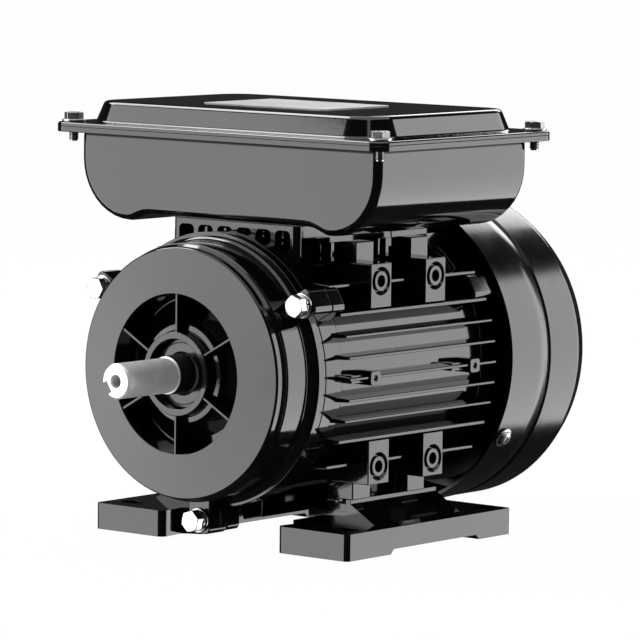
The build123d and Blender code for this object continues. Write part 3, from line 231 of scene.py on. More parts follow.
def copper_wire(name):
    """Enamelled copper wire in bundles, varnished: the strands are drawn 1.2 mm wide so that they show."""
    material, principled, space = new_material(name)
    principled.inputs["Metallic"].default_value = 0.6
    principled.inputs["Roughness"].default_value = 0.35
    wave = add_node(material, "ShaderNodeTexWave", {"wave_type": "RINGS", "rings_direction": "Y"}, {
        "Vector": space, "Scale": 800.0 / WAVES_AT_SCALE_ONE, "Distortion": 2.0, "Detail": 2.0})
    ramp = add_node(material, "ShaderNodeValToRGB", {}, {"Fac": wave.outputs["Fac"]})
    ramp.color_ramp.elements[0].color = shade("#4a1f0c")
    ramp.color_ramp.elements[1].color = shade("#b0602c")
    bump = add_node(material, "ShaderNodeBump", {}, {"Height": wave.outputs["Fac"], "Distance": 0.0003})
    connect(material, ramp.outputs["Color"], principled.inputs["Base Color"])
    connect(material, bump.outputs["Normal"], principled.inputs["Normal"])
    return material


def stacked_sheet(name):
    """Electrical steel sheets pressed into a stack: fine lines across the shaft, drawn 1.2 mm apart."""
    material, principled, space = new_material(name)
    principled.inputs["Metallic"].default_value = 0.9
    wave = add_node(material, "ShaderNodeTexWave", {"bands_direction": "Y"}, {
        "Vector": space, "Scale": 830.0 / WAVES_AT_SCALE_ONE, "Distortion": 0.3})
    ramp = add_node(material, "ShaderNodeValToRGB", {}, {"Fac": wave.outputs["Fac"]})
    ramp.color_ramp.elements[0].color = shade("#2c2c2e")
    ramp.color_ramp.elements[1].color = shade("#6b6b6e")
    connect(material, ramp.outputs["Color"], principled.inputs["Base Color"])
    mottled(material, space, 4.0, 0.35, 0.5, principled.inputs["Roughness"])
    return material


# Sprayed on castings and baked: deep black with sharp reflections of the studio.
gloss_black = enamel("black_stoving_enamel", 0.07, 0.006)
# The same enamel on pressed sheet, thinner and less smooth: its reflections have soft ends.
cover_black = enamel("black_enamel_on_pressed_sheet", 0.17, 0.008)
# Electroplated steel of the bolts and screws: pale grey, with broad blurred highlights.
zinc = plated("bright_zinc_plate", "#adb0b3", "#c3c6c8", 0.31, 3.0)
# Turned and ground: almost white, with highlights drawn out round the shaft.
steel = ground_steel("ground_shaft_steel")
# Hardened and lapped rings and balls: the brightest metal, nearly a mirror.
bearing_steel = plated("polished_bearing_steel", "#a5a6a8", "#b5b6b8", 0.14, 5.0)
# Pressure-cast rotor cage, left raw: dull light grey with a fine grain.
cast_alloy = plated("cast_aluminium", "#9c9c9e", "#b4b4b6", 0.42, 1.5)
# Turned terminal parts: warm yellow and fairly bright.
brass = plated("bright_brass", "#b8923e", "#d3b25e", 0.22, 3.0)
# Varnished coils: dark and light copper strands side by side.
copper = copper_wire("enamelled_copper_wire")
# Punched and stacked sheets: dark grey with fine lines.
sheet_stack = stacked_sheet("electrical_steel_stack")
# Pressed rubber: black and soft, with no sharp reflection.
rubber = moulded("nitrile_rubber", "#0b0b0b", "#141414", 0.45, 0.8)
# The seal's face is wet with oil, so it shines like the enamel round it.
seal_black = enamel("oiled_nitrile_seal", 0.13, 0.004)
# Injection moulded with a sparked texture: black with a satin sheen.
black_nylon = moulded("black_nylon", "#0e0e0e", "#191919", 0.38, 0.9)
# Injection moulded fan: black, a little duller than nylon.
fan_plastic = moulded("black_polypropylene", "#0c0c0c", "#161616", 0.4, 1.0)
# Pressed thermosetting resin of the terminal block: dark red brown with a low gloss.
phenolic = moulded("brown_phenolic_resin", "#2c120a", "#3b1a0f", 0.35, 1.0)
# Moulded capacitor cases: an even off-white with a satin sheen.
can_plastic = moulded("white_capacitor_case", "#cfcfca", "#deded9", 0.32, 1.2)
# Lacquered sheet with nothing printed on it: light grey and matt.
plate_white = moulded("bare_lacquered_plate", "#a9abab", "#b6b8b8", 0.4, 2.0)

SLOT_MATERIALS = {
    "paint": gloss_black, "cover_paint": cover_black, "box_plastic": gloss_black, "zinc": zinc,
    "lamination": sheet_stack, "copper": copper, "alloy": cast_alloy, "shaft_steel": steel,
    "bearing_steel": bearing_steel, "seal_rubber": rubber, "switch_plastic": black_nylon,
    "fan_plastic": fan_plastic, "block_plastic": phenolic, "capacitor_case": can_plastic,
    "contact_brass": brass, "plate_metal": plate_white}
for part in frame["record"]["subparts"]:
    nodes[part["node"]].data.materials.clear()
    nodes[part["node"]].data.materials.append(SLOT_MATERIALS[part["material_slot"]])


# Modelling tools

def metres(point):
    """A point in millimetres as metres."""
    return tuple(value * MM for value in point)


def pick(piece):
    """Selects one piece alone and makes it the active one."""
    bpy.ops.object.select_all(action="DESELECT")
    piece.select_set(True)
    bpy.context.view_layer.objects.active = piece


def edit(piece):
    """Opens one piece in edit mode with all of it selected."""
    pick(piece)
    bpy.ops.object.mode_set(mode="EDIT")
    bpy.ops.mesh.select_mode(type="VERT")
    bpy.ops.mesh.select_all(action="SELECT")


def leave():
    """Closes edit mode."""
    bpy.ops.object.mode_set(mode="OBJECT")


def settle(piece):
    """Puts the piece's place, turn and size into its mesh."""
    pick(piece)
    bpy.ops.object.transform_apply(location=True, rotation=True, scale=True)
    return piece


def draw(name, points, closed):
    """Draws a line of edges by pulling one vertex from point to point."""
    bpy.ops.object.select_all(action="DESELECT")
    bpy.ops.mesh.primitive_plane_add(size=0.001, location=metres(points[0]))
    piece = bpy.context.object
    piece.name = name
    bpy.ops.object.mode_set(mode="EDIT")
    bpy.ops.mesh.merge(type="CENTER")
    for before, after in zip(points, points[1:]):
        step = [(b - a) * MM for a, b in zip(before, after)]
        bpy.ops.mesh.extrude_region_move(TRANSFORM_OT_translate={"value": step})
    bpy.ops.mesh.select_all(action="SELECT")
    if closed:
        bpy.ops.mesh.edge_face_add()
    leave()
    return settle(piece)


def eased(corners, loop=False):
    """A 2-D line through (u, v, radius) corners, each turned as an arc of its radius."""
    line = []
    count = len(corners)
    for i, (u, v, radius) in enumerate(corners):
        here = Vector((u, v))
        if radius == 0 or (not loop and i in (0, count - 1)):
            line.append(here)
            continue
        to_before = (Vector(corners[i - 1][:2]) - here).normalized()
        to_after = (Vector(corners[(i + 1) % count][:2]) - here).normalized()
        half = to_before.angle(to_after) / 2
        turn = math.pi - 2 * half
        centre = here + (to_before + to_after).normalized() * (radius / math.sin(half))
        start = here + to_before * (radius / math.tan(half)) - centre
        end = here + to_after * (radius / math.tan(half)) - centre
        steps = max(2, round(math.degrees(turn) / 9))
        for k in range(steps + 1):
            t = k / steps
            arc = (start * math.sin((1 - t) * turn) + end * math.sin(t * turn)) / math.sin(turn)
            line.append(centre + arc)
    return line


def tidy_mesh(piece):
    """Merges doubled vertices and turns the faces outwards."""
    edit(piece)
    bpy.ops.mesh.remove_doubles(threshold=0.000002)
    bpy.ops.mesh.normals_make_consistent(inside=False)
    leave()
    return piece


def turned(name, corners, steps=96, centre=SHAFT_POINT, axis=ALONG_Y, loop=True):
    """A (radius, along) profile spun about an axis through centre."""
    line = eased(corners, loop)
    if loop:
        line.append(line[0])
    if axis == ALONG_Y:
        points = [(centre[0] + r, y, centre[2]) for r, y in line]
    elif axis == ALONG_Z:
        points = [(centre[0] + r, centre[1], z) for r, z in line]
    else:
        points = [(x, centre[1] + r, centre[2]) for r, x in line]
    piece = draw(name, points, False)
    edit(piece)
    bpy.ops.mesh.spin(steps=steps, angle=2 * math.pi, center=metres(centre), axis=axis)
    leave()
    return tidy_mesh(piece)


def rod(name, radius, start, end, steps, centre, axis):
    """A round bar about an axis through centre, from start to end along it."""
    corners = [(0, start, 0), (radius, start, 0), (radius, end, 0), (0, end, 0)]
    return turned(name, corners, steps, centre, axis, False)


def prism_y(name, line, y0, y1):
    """An (x, z) outline carried from y0 to y1."""
    piece = draw(name, [(x, y0, z) for x, z in line], True)
    edit(piece)
    bpy.ops.mesh.extrude_region_move(TRANSFORM_OT_translate={"value": (0, (y1 - y0) * MM, 0)})
    leave()
    return tidy_mesh(piece)


def prism_x(name, line, x0, x1):
    """A (y, z) outline carried from x0 to x1."""
    piece = draw(name, [(x0, y, z) for y, z in line], True)
    edit(piece)
    bpy.ops.mesh.extrude_region_move(TRANSFORM_OT_translate={"value": ((x1 - x0) * MM, 0, 0)})
    leave()
    return tidy_mesh(piece)


def prism_z(name, line, z0, z1):
    """An (x, y) outline carried from z0 to z1."""
    piece = draw(name, [(x, y, z0) for x, y in line], True)
    edit(piece)
    bpy.ops.mesh.extrude_region_move(TRANSFORM_OT_translate={"value": (0, 0, (z1 - z0) * MM)})
    leave()
    return tidy_mesh(piece)


def rounded_rectangle(x0, x1, y0, y1, radius):
    """A closed 2-D outline with round corners."""
    return eased([(x0, y0, radius), (x1, y0, radius), (x1, y1, radius), (x0, y1, radius)], True)


def slab(name, low, high, bevel=0.0, segments=2):
    """A block between two corners with its edges eased."""
    size = [b - a for a, b in zip(low, high)]
    middle = [(a + b) / 2 for a, b in zip(low, high)]
    bpy.ops.object.select_all(action="DESELECT")
    bpy.ops.mesh.primitive_cube_add(size=1, location=metres(middle), scale=metres(size))
    piece = bpy.context.object
    piece.name = name
    settle(piece)
    if bevel:
        bevelled(piece, bevel, segments)
    return piece


def modify(piece, kind, **settings):
    """Adds one modifier and applies it."""
    pick(piece)
    bpy.ops.object.modifier_add(type=kind)
    modifier = piece.modifiers[-1]
    for name, value in settings.items():
        setattr(modifier, name, value)
    bpy.ops.object.modifier_apply(modifier=modifier.name)
    return piece


def bevelled(piece, width, segments=3, angle=35):
    """Rounds the edges that are sharper than an angle in degrees."""
    return modify(piece, "BEVEL", width=width * MM, segments=segments, limit_method="ANGLE",
                  angle_limit=math.radians(angle), use_clamp_overlap=True)


def combined(piece, operation, *others):
    """Unites, intersects or cuts a piece with others, which are used up."""
    for other in others:
        modify(piece, "BOOLEAN", operation=operation, solver="EXACT", object=other)
        bpy.data.objects.remove(other)
    return piece


def cut(piece, *cutters):
    """Takes the cutters out of a piece."""
    return combined(piece, "DIFFERENCE", *cutters)


def joined(name, pieces):
    """Puts several closed shapes into one object."""
    bpy.ops.object.select_all(action="DESELECT")
    for piece in pieces:
        piece.select_set(True)
    bpy.context.view_layer.objects.active = pieces[0]
    if len(pieces) > 1:
        bpy.ops.object.join()
    result = bpy.context.view_layer.objects.active
    result.name = name
    return result


def copied(piece, matrix, flip=False):
    """A copy of a piece with its own mesh, moved by a matrix in metres."""
    copy = piece.copy()
    copy.data = piece.data.copy()
    bpy.context.scene.collection.objects.link(copy)
    copy.data.transform(matrix)
    if flip:
        copy.data.flip_normals()
    return copy


def shifted(x, y, z):
    """A move in millimetres, as a matrix."""
    return Matrix.Translation(metres((x, y, z)))


def about_shaft(angle):
    """A turn about the shaft axis, anticlockwise as seen from the front."""
    place = Matrix.Translation((0, 0, AXIS_Z * MM))
    return place @ Matrix.Rotation(math.radians(-angle), 4, "Y") @ place.inverted()


def mirrored_x(piece):
    """The same piece on the other side of the shaft."""
    return copied(piece, Matrix.Scale(-1, 4, ALONG_X), True)


def on_circle(radius, angle):
    """The x and z of a point on a circle about the shaft, anticlockwise from +X."""
    return radius * math.cos(math.radians(angle)), AXIS_Z + radius * math.sin(math.radians(angle))


def dress(piece, material, body, replaced):
    """Shades a finished piece, gives it its material and ties it to the frame."""
    pick(piece)
    bpy.ops.object.shade_smooth_by_angle(angle=math.radians(30))
    modify(piece, "WEIGHTED_NORMAL", keep_sharp=True)
    piece.data.materials.clear()
    piece.data.materials.append(material)
    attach(piece, body)
    if replaced:
        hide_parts(*replaced)


def hexagon_head(name, across, height, edge):
    """A hexagon head standing on Z = 0 at the origin, its upper corners turned off."""
    bpy.ops.object.select_all(action="DESELECT")
    bpy.ops.mesh.primitive_cylinder_add(vertices=6, radius=across / math.sqrt(3) * MM,
                                        depth=height * MM, location=(0, 0, height / 2 * MM))
    head = settle(bpy.context.object)
    head.name = name
    round_part = turned(name + "_chamfer", [
        (0, -1, 0), (across, -1, 0), (across, height - 0.9, 0), (across / 2 - 0.15, height, 0),
        (0, height, 0)], 48, ORIGIN, ALONG_Z, False)
    combined(head, "INTERSECT", round_part)
    return bevelled(head, edge, 2, 20)


# Camera, light and floor

def make_camera():
    """The camera at the photograph's viewing angle."""
    data = bpy.data.cameras.new("camera")
    data.sensor_width = CAMERA_SENSOR
    data.lens = CAMERA_LENS
    data.clip_start, data.clip_end = 0.1, 20.0
    camera = bpy.data.objects.new("camera", data)
    bpy.context.scene.collection.objects.link(camera)
    turn = (Matrix.Rotation(math.radians(CAMERA_AZIMUTH), 4, "Z")
            @ Matrix.Rotation(math.pi / 2 - math.radians(CAMERA_ELEVATION), 4, "X")
            @ Matrix.Rotation(math.radians(CAMERA_ROLL), 4, "Z"))
    camera.matrix_world = Matrix.Translation(CAMERA_PLACE) @ turn
    bpy.context.scene.camera = camera


def softbox(name, azimuth, elevation, distance, width, height, radiance):
    """A rectangular area lamp that faces the object from a compass direction.

    The azimuth counts as the camera's does.
    """
    a, e = math.radians(azimuth), math.radians(elevation)
    back = Vector((math.sin(a) * math.cos(e), -math.cos(a) * math.cos(e), math.sin(e)))
    bpy.ops.object.light_add(type="AREA", location=Vector(LAMP_TARGET) + back * distance)
    lamp = bpy.context.object
    lamp.name = name
    lamp.rotation_mode = "QUATERNION"
    lamp.rotation_quaternion = back.to_track_quat("Z", "Y")
    lamp.data.shape = "RECTANGLE"
    lamp.data.size, lamp.data.size_y = width, height
    lamp.data.energy = radiance * width * height * math.pi
    lamp.visible_camera = False


def make_floor():
    """A pale floor that shows as white and keeps a trace of the object's shadow."""
    bpy.ops.object.select_all(action="DESELECT")
    bpy.ops.mesh.primitive_plane_add(size=14, location=(0, 0, 0))
    floor = bpy.context.object
    floor.name = "floor"
    material = bpy.data.materials.new("pale_floor")
    material.use_nodes = True
    principled = material.node_tree.nodes["Principled BSDF"]
    principled.inputs["Base Color"].default_value = (0.9, 0.9, 0.9, 1)
    principled.inputs["Roughness"].default_value = 0.9
    glow = add_node(material, "ShaderNodeEmission", {}, {"Color": (1, 1, 1, 1), "Strength": 1.0})
    ray = add_node(material, "ShaderNodeLightPath", {}, {})
    share = add_node(material, "ShaderNodeMath", {"operation": "MULTIPLY"}, {
        0: ray.outputs["Is Camera Ray"], 1: FLOOR_WHITE_SHARE})
    mix = add_node(material, "ShaderNodeMixShader", {}, {
        "Fac": share.outputs["Value"], 1: principled.outputs["BSDF"], 2: glow.outputs["Emission"]})
    connect(material, mix.outputs["Shader"], material.node_tree.nodes["Material Output"].inputs["Surface"])
    floor.data.materials.append(material)
    floor.visible_glossy = False
    floor.visible_shadow = False


def make_world():
    """White to the camera, and a dark studio to everything else."""
    world = bpy.data.worlds.new("studio")
    bpy.context.scene.world = world
    world.use_nodes = True
    background = world.node_tree.nodes["Background"]
    ray = add_node(world, "ShaderNodeLightPath", {}, {})
    level = add_node(world, "ShaderNodeMapRange", {}, {
        "Value": ray.outputs["Is Camera Ray"], "To Min": WORLD_GLOW, "To Max": 1.0})
    connect(world, level.outputs["Result"], background.inputs["Strength"])
    background.inputs["Color"].default_value = (1, 1, 1, 1)


make_camera()
make_world()
make_floor()
for lamp_row in SOFTBOXES:
    softbox(*lamp_row)
bpy.context.scene.view_settings.view_transform = "Standard"


# Front end shield

def end_shield_body():
    """The rim, the flat ring, the ribbed well and the hub, all turned from one profile."""
    return turned("front_endshield_casting", [
        (46.5, -52.0, 0.3), (50.0, -52.0, 0.3), (50.0, -57.0, 0), (53.7, -57.0, 0), (53.7, -58.1, 0),
        (55.1, -58.1, 0.25), (55.1, -62.3, 0.3), (53.9, -62.3, 0.1), (51.5, -63.4, 3.4),
        (51.5, -76.8, 0.2), (50.6, -77.1, 0.1), (51.2, -77.5, 0.15), (50.15, -79.0, 0.4),
        (50.15, -82.0, 0.9), (49.2, -82.0, 0),
        (31.84, -84.75, 0.35), (31.0, -72.2, 1.2), (26.2, -72.6, 1.0), (20.2, -76.0, 0.6),
        (19.8, -80.0, 0.4),
        (17.6, -80.4, 0.3), (16.9, -79.8, 0.2), (16.7, -84.6, 0.45), (13.9, -84.6, 0.4), (13.75, -72.4, 0),
        (17.5, -72.2, 0), (17.5, -60.6, 0.2), (22.0, -60.6, 0.4), (22.0, -69.5, 1.0), (34.0, -69.5, 1.5),
        (35.0, -80.8, 1.5), (46.0, -79.4, 2.0), (47.5, -60.0, 1.0)], 144)


def bolt_lug(name, y0, y1, reach, half, angle):
    """A block that stands out from the rim along its own radius."""
    outline = eased([(47.0, AXIS_Z + half, 0), (47.0, AXIS_Z - half, 0), (reach, AXIS_Z - half, 2.3),
                     (reach, AXIS_Z + half, 2.3)], True)
    lug = bevelled(prism_y(name, outline, y0, y1), 0.5, 3)
    lug.data.transform(about_shaft(angle))
    return lug


def make_front_endshield():
    """The cast front end shield with its ribs and its three lugs for the bolts."""
    body = end_shield_body()
    ribs = []
    for k in range(SHIELD_RIBS):
        wedge = [(-0.5, -84.2), (0.5, -84.2), (1.2, -71.0), (-1.2, -71.0)]
        rib = bevelled(prism_z("rib", wedge, AXIS_Z + 16.2, AXIS_Z + 31.9), 0.2, 2)
        rib.data.transform(about_shaft(k * 360 / SHIELD_RIBS))
        ribs.append(rib)
    lugs = []
    for angle in BOLT_ANGLES:
        x, z = on_circle(FRONT_BOLT_CIRCLE, angle)
        lug = bolt_lug("lug", -69.0, -58.3, FRONT_LUG_REACH, LUG_HALF_WIDTH, angle)
        lugs.append(cut(lug, rod("hole", 2.8, -70, -56, 24, (x, 0, z), ALONG_Y)))
    shield = joined("front_endshield_casting", [body] + ribs + lugs)
    dress(shield, gloss_black, "frame", ["front_endshield"])


def make_seal():
    """A shaft seal with a glossy flat face, and the dark ring on the shaft that keeps dust off its lip."""
    seal = turned("shaft_seal_ring", [
        (13.6, -80.3, 0.3), (13.6, -73.4, 0.2), (12.5, -73.4, 0.2), (12.3, -78.9, 0.3), (9.6, -78.9, 0.3),
        (9.0, -75.2, 0.3), (7.8, -75.0, 0.1), (7.8, -79.6, 0.3), (8.8, -80.3, 0.2), (12.1, -80.3, 0.05),
        (12.3, -80.0, 0.05), (12.5, -80.3, 0.05)], 96)
    dress(seal, seal_black, "frame", ["front_shaft_seal"])
    ring = turned("dust_ring", [
        (7.52, -89.9, 0), (7.7, -89.9, 0.1), (7.9, -81.4, 0.2), (7.8, -80.7, 0.05), (7.52, -80.7, 0)], 72)
    dress(ring, rubber, "rotor", [])


# Shaft

def make_shaft():
    """The stepped shaft with its chamfered end, open keyway and centre hole."""
    shaft = turned("motor_shaft", [
        (0, -120, 0), (6.3, -120, 0), (7.0, -119.3, 0.15), (7.0, -91.0, 0.2), (6.8, -90.6, 0),
        (6.8, -90.1, 0), (7.5, -90.0, 0.2), (7.5, -61, 0), (10, -61, 0.3), (10, 56.6, 0.3), (7.5, 56.6, 0),
        (7.5, 69.5, 0.2), (6.0, 69.5, 0), (6.0, 91.9, 0), (5.4, 91.9, 0), (5.4, 93.0, 0), (6.0, 93.0, 0),
        (6.0, 96.3, 0.5), (5.4, 97.0, 0), (0, 97.0, 0)], 96, loop=False)
    floor, top = AXIS_Z + 4.0, AXIS_Z + 9.0
    key_line = eased([(-2.5, floor, 0.2), (2.5, floor, 0.2), (2.5, top, 0), (-2.5, top, 0)], True)
    keyway = prism_y("keyway", key_line, -121, -98)
    keyway.data.transform(about_shaft(KEY_ANGLE - 90))
    centre_hole = turned("centre_hole", [
        (0, -121, 0), (3.2, -121, 0), (2.2, -119.0, 0), (2.1, -107.0, 0), (0, -106.0, 0)], 48, loop=False)
    cut(shaft, keyway, centre_hole)
    bevelled(shaft, 0.25, 2, 40)
    dress(shaft, steel, "rotor", ["shaft"])


# Housing

def fin_parts():
    """Level fins on both sides and upright fins below, thin at the tip and thicker at the root."""
    pieces = []
    fins = []
    for k in (-3, -2, -1, 0, 1, 2, 3):
        rise = FIN_PITCH * k
        fins.append((rise, math.sqrt(FIN_TIP ** 2 - rise ** 2), 1.3 if abs(k) < 3 else 1.6))
    fins += [(CORNER_FIN_RISE, CORNER_FIN_TIP, 1.5), (-CORNER_FIN_RISE, CORNER_FIN_TIP, 1.5)]
    for rise, tip, thickness in fins:
        root = math.sqrt(FIN_ROOT ** 2 - rise ** 2) - 3
        z = AXIS_Z + rise
        line = eased([(root, z + thickness, 0), (tip, z + thickness / 2 - 0.1, 0.4),
                      (tip, z - thickness / 2 + 0.1, 0.4), (root, z - thickness, 0)], True)
        fin = bevelled(prism_y("fin", line, FIN_FRONT, FIN_REAR), 0.35, 2, 50)
        pieces += [fin, mirrored_x(fin)]
    for k in (-2, -1, 0, 1, 2):
        x = FIN_PITCH * k
        tip, root = AXIS_Z - math.sqrt(LOWER_FIN_TIP ** 2 - x ** 2), AXIS_Z - 48
        line = eased([(x - 1.6, root, 0), (x - 0.8, tip, 0.5), (x + 0.8, tip, 0.5),
                      (x + 1.6, root, 0)], True)
        pieces.append(bevelled(prism_y("fin", line, FIN_FRONT, FIN_REAR), 0.4, 2, 50))
    return pieces


def side_pad_parts():
    """The square pads with their ringed screw holes, the steps beside them and the pads on the feet."""
    pieces = []
    for y in PAD_PLACES:
        for row in (-1, 1):
            near, far = AXIS_Z + row * 26.4, AXIS_Z + row * 44.1
            low, high = sorted((near, far))
            pad = slab("pad", (30, y - PAD_HALF_WIDTH, low), (PAD_REACH, y + PAD_HALF_WIDTH, high), 0.45, 3)
            middle = (0, y, AXIS_Z + row * PAD_HOLE_RISE)
            groove = turned("groove", [(3.95, 57, 0), (3.95, 53.9, 0), (4.3, 53.9, 0), (5.7, 55.8, 0),
                                       (5.7, 57, 0)], 56, middle, ALONG_X)
            cut(pad, rod("hole", 2.4, 44, 57, 40, middle, ALONG_X), groove)
            bevelled(pad, 0.12, 2, 60)
            low, high = sorted((far - row * 2, AXIS_Z + row * (52.2 if row > 0 else 51.0)))
            step = slab("step", (39.7, y - 5.7, low), (47.5, y + 5.7, high), 0.5, 3)
            pieces += [pad, step, mirrored_x(pad), mirrored_x(step)]
    for y0, y1, far, floor in (
            (-28.6, -20.0, 40.9, 18.5), (-26.8, -18.2, 42.6, 15.1), (3.6, 17.0, 42.6, 15.1)):
        for side in (-1, 1):
            low, high = sorted((side * 32.6, side * far))
            pieces.append(slab("foot_pad", (low, y0, floor), (high, y1, 40), 0.4))
    return pieces


def rivet_boss_parts():
    """Small bosses on the middle fin, where a rating plate would be riveted."""
    pieces = []
    for y in RIVET_PLACES:
        outline = rounded_rectangle(y - 3.3, y + 3.3, AXIS_Z - 3.2, AXIS_Z + 2.5, 1.5)
        boss = prism_x("boss", outline, 50, 62.4)
        cut(boss, turned("hole", [(0, 60, 0), (0.7, 60, 0), (0.7, 62.0, 0), (1.5, 62.5, 0),
                                  (0, 62.5, 0)], 24, (0, y, AXIS_Z - 0.4), ALONG_X, False))
        bevelled(boss, 0.35, 3)
        rib = slab("rib", (50, y - 12, AXIS_Z - 2.0), (59.5, y - 3, AXIS_Z + 1.2), 0.5)
        pieces += [boss, rib, mirrored_x(boss), mirrored_x(rib)]
    return pieces


def make_housing():
    """The cast barrel with its fins, pads, bosses, bolt lugs and the neck under the box."""
    barrel = turned("barrel", [
        (50.0, -57.0, 0), (53.7, -57.0, 0), (53.7, -57.8, 0), (55.1, -57.8, 0.25), (55.1, -51.9, 0.4),
        (54.7, -51.5, 0.2), (54.7, -47.2, 0.6), (54.0, -46.3, 0.6), (54.0, 42.3, 0.5), (55.3, 42.5, 0.4),
        (55.3, 49.0, 0.3), (50.0, 49.0, 0)], 144)
    pieces = [barrel] + fin_parts() + side_pad_parts() + rivet_boss_parts()
    for angle in BOLT_ANGLES:
        pieces.append(bolt_lug("lug", -57.6, -50.0, FRONT_LUG_REACH - 0.4, LUG_HALF_WIDTH - 0.1, angle))
        pieces.append(bolt_lug("lug", 37.0, 49.0, REAR_LUG_REACH, LUG_HALF_WIDTH, angle))
    pieces += neck_parts()
    housing = joined("finned_housing", pieces)
    dress(housing, gloss_black, "frame", ["stator_housing"])


def neck_parts():
    """The seat of the terminal box: a front wall with arched slots, side skirts, legs and ribs."""
    wall_plan = eased([(-NECK_HALF, -45.0, 0), (-NECK_HALF, -49.3, 2.65), (NECK_HALF, -49.3, 2.65),
                       (NECK_HALF, -45.0, 0)], True)
    front = prism_z("neck_front", wall_plan, 104.0, NECK_TOP)
    cutters = [slab("corner_room", (side * 31.0 - 3.0, -52, 100), (side * 31.0 + 3.0, -40, 113))
               for side in (-1, 1)]
    for k in range(-3, 3):
        x = NECK_WEB_PITCH * (k + 0.5)
        arch = eased([(x - 3.7, 100, 0), (x - 3.7, 127.2, 2.0), (x + 3.7, 127.2, 2.0), (x + 3.7, 100, 0)])
        cutters.append(prism_y("arch", arch, -51, -40))
    cut(front, *cutters)
    bevelled(front, 0.35, 2)
    plate = slab("neck_plate", (-NECK_HALF + 0.2, -45.2, 126.2), (NECK_HALF - 0.2, 49.0, NECK_TOP), 0.3)
    pieces = [front, plate, slab("neck_back", (-30.0, -43.0, 100), (30.0, -41.5, 127), 0.2)]
    leg = eased([(-46.7, 125, 0), (-46.7, 113, 0.8), (-40.8, 113, 0.8), (-40.6, 121.8, 2.0), (-37, 121.8, 0),
                 (-37, 125, 0)], True)
    rear_leg = [(34.2, 125, 0), (34.2, 121.8, 1.0), (39.4, 112.0, 0.4), (40.4, 112.0, 0.2)]
    rear_leg += [(49.0 - 8.6 * math.cos(a), 112.0 + 8.6 * math.sin(a), 0)
                 for a in (math.radians(10 * k) for k in range(1, 10))]
    rear_leg = eased(rear_leg + [(49.0, 125, 0)], True)
    for side in (-1, 1):
        low, high = sorted((side * 29.5, side * NECK_HALF))
        for y0, y1 in ((-46.7, 10.75), (11.05, 49.0)):
            pieces.append(slab("skirt", (low, y0, 121.8), (high, y1, NECK_TOP), 0.35, 3))
        for line in (leg, rear_leg):
            pieces.append(bevelled(prism_x("leg", line, low, high), 0.35, 2))
        low, high = sorted((side * 20, side * 31.0))
        for y in NECK_RIB_PLACES:
            pieces.append(slab("rib", (low, y - 1.1, 104), (high, y + 1.1, 127), 0.3))
        low, high = sorted((side * 12, side * 27.0))
        pieces.append(slab("neck_wall", (low, -42, 108), (high, 46, 127), 0.3))
    return pieces


# Feet

def make_feet():
    """Two cast feet: a slotted plate hollowed below, and the sloping saddle under the side pads."""
    plan = eased([
        (29.6, -56.7, 3.0), (66.0, -56.7, 2.2), (66.0, 50.6, 2.2), (29.6, 50.6, 3.0), (31.3, 36.0, 2.0),
        (23.6, 32.0, 2.0), (23.6, -39.0, 2.0), (31.3, -43.0, 2.0)], True)
    plate = prism_z("foot_plate", plan, 0.0, FOOT_TOP)
    recess = [(-29, -1), (-29, 0), (-27, 2.0), (27, 2.0), (29, 0), (29, -1)]
    cutters = [prism_x("recess", recess, 10, 70)]
    for y in FOOT_SLOT_PLACES:
        slot = rounded_rectangle(51.0, 61.0, y - 3.5, y + 3.5, 3.49)
        cutters.append(prism_z("slot", slot, -1, 12))
    for y in FOOT_SCREW_PLACES:
        cutters.append(rod("hole", 5.3, -1, 8.5, 32, (FOOT_SCREW_X, y, 0), ALONG_Z))
    cut(plate, *cutters)
    bevelled(plate, 0.7, 3, 40)
    saddle_line = eased([
        (23.6, 8.0, 0), (23.6, 15.0, 0.4), (42.8, 15.0, 0.2), (42.8, 19.9, 0.4), (45.1, 19.9, 0.35),
        (45.2, 18.2, 0.3), (57.6, FOOT_TOP, 0.8), (60.0, 10.4, 0), (60.0, 8.0, 0)], True)
    saddle = bevelled(prism_y("saddle", saddle_line, -29.0, 27.0), 0.4, 3, 50)
    end_wall = slab("saddle_end", (33.0, -28.95, 9.0), (45.1, -26.9, 18.2), 0.4, 2)
    foot = joined("cast_foot_right", [plate, saddle, end_wall])
    left = mirrored_x(foot)
    left.name = "cast_foot_left"
    dress(foot, gloss_black, "frame", ["right_foot"])
    dress(left, gloss_black, "frame", ["left_foot"])


# Terminal box and lid

def box_line(inset, top):
    """The box's section: round lobes at both sides, a shallow step up to the flat middle."""
    half, lobe = 77.4 - inset, 127.2 + inset
    flat = 130.2 + inset
    side = [(half, top, 0), (half, lobe, 24.6 - inset), (50.4, lobe, 7 + inset), (43.0, flat, 14 + inset)]
    return eased(side + [(-x, z, r) for x, z, r in reversed(side)])


def make_box():
    """The open box with its rim, lid screw holes, gland hole and the duct down to the windings."""
    shell = prism_y("terminal_box_shell", box_line(0, 163.5), BOX_FRONT, BOX_REAR)
    bevelled(shell, 3.3, 6, 50)
    rim = prism_z("rim", rounded_rectangle(*RIM_OUTLINE), 162.2, 164.5)
    bevelled(rim, 0.35, 3)
    combined(shell, "UNION", rim)
    cutters = [prism_y("cavity", box_line(BOX_WALL, 170), BOX_FRONT + BOX_WALL, BOX_REAR - BOX_WALL)]
    for x, y in LID_SCREW_PLACES:
        cutters.append(rod("hole", 2.1, 160, 166, 24, (x, y, 0), ALONG_Z))
    cutters.append(rod("gland_hole", 10.2, 30, 50, 40, (GLAND_X, 0, GLAND_Z), ALONG_Y))
    cutters.append(slab("duct", (-9.5, -29.5, 125), (9.5, -14.5, 140)))
    cut(shell, *cutters)
    dress(shell, gloss_black, "frame", ["terminal_box"])


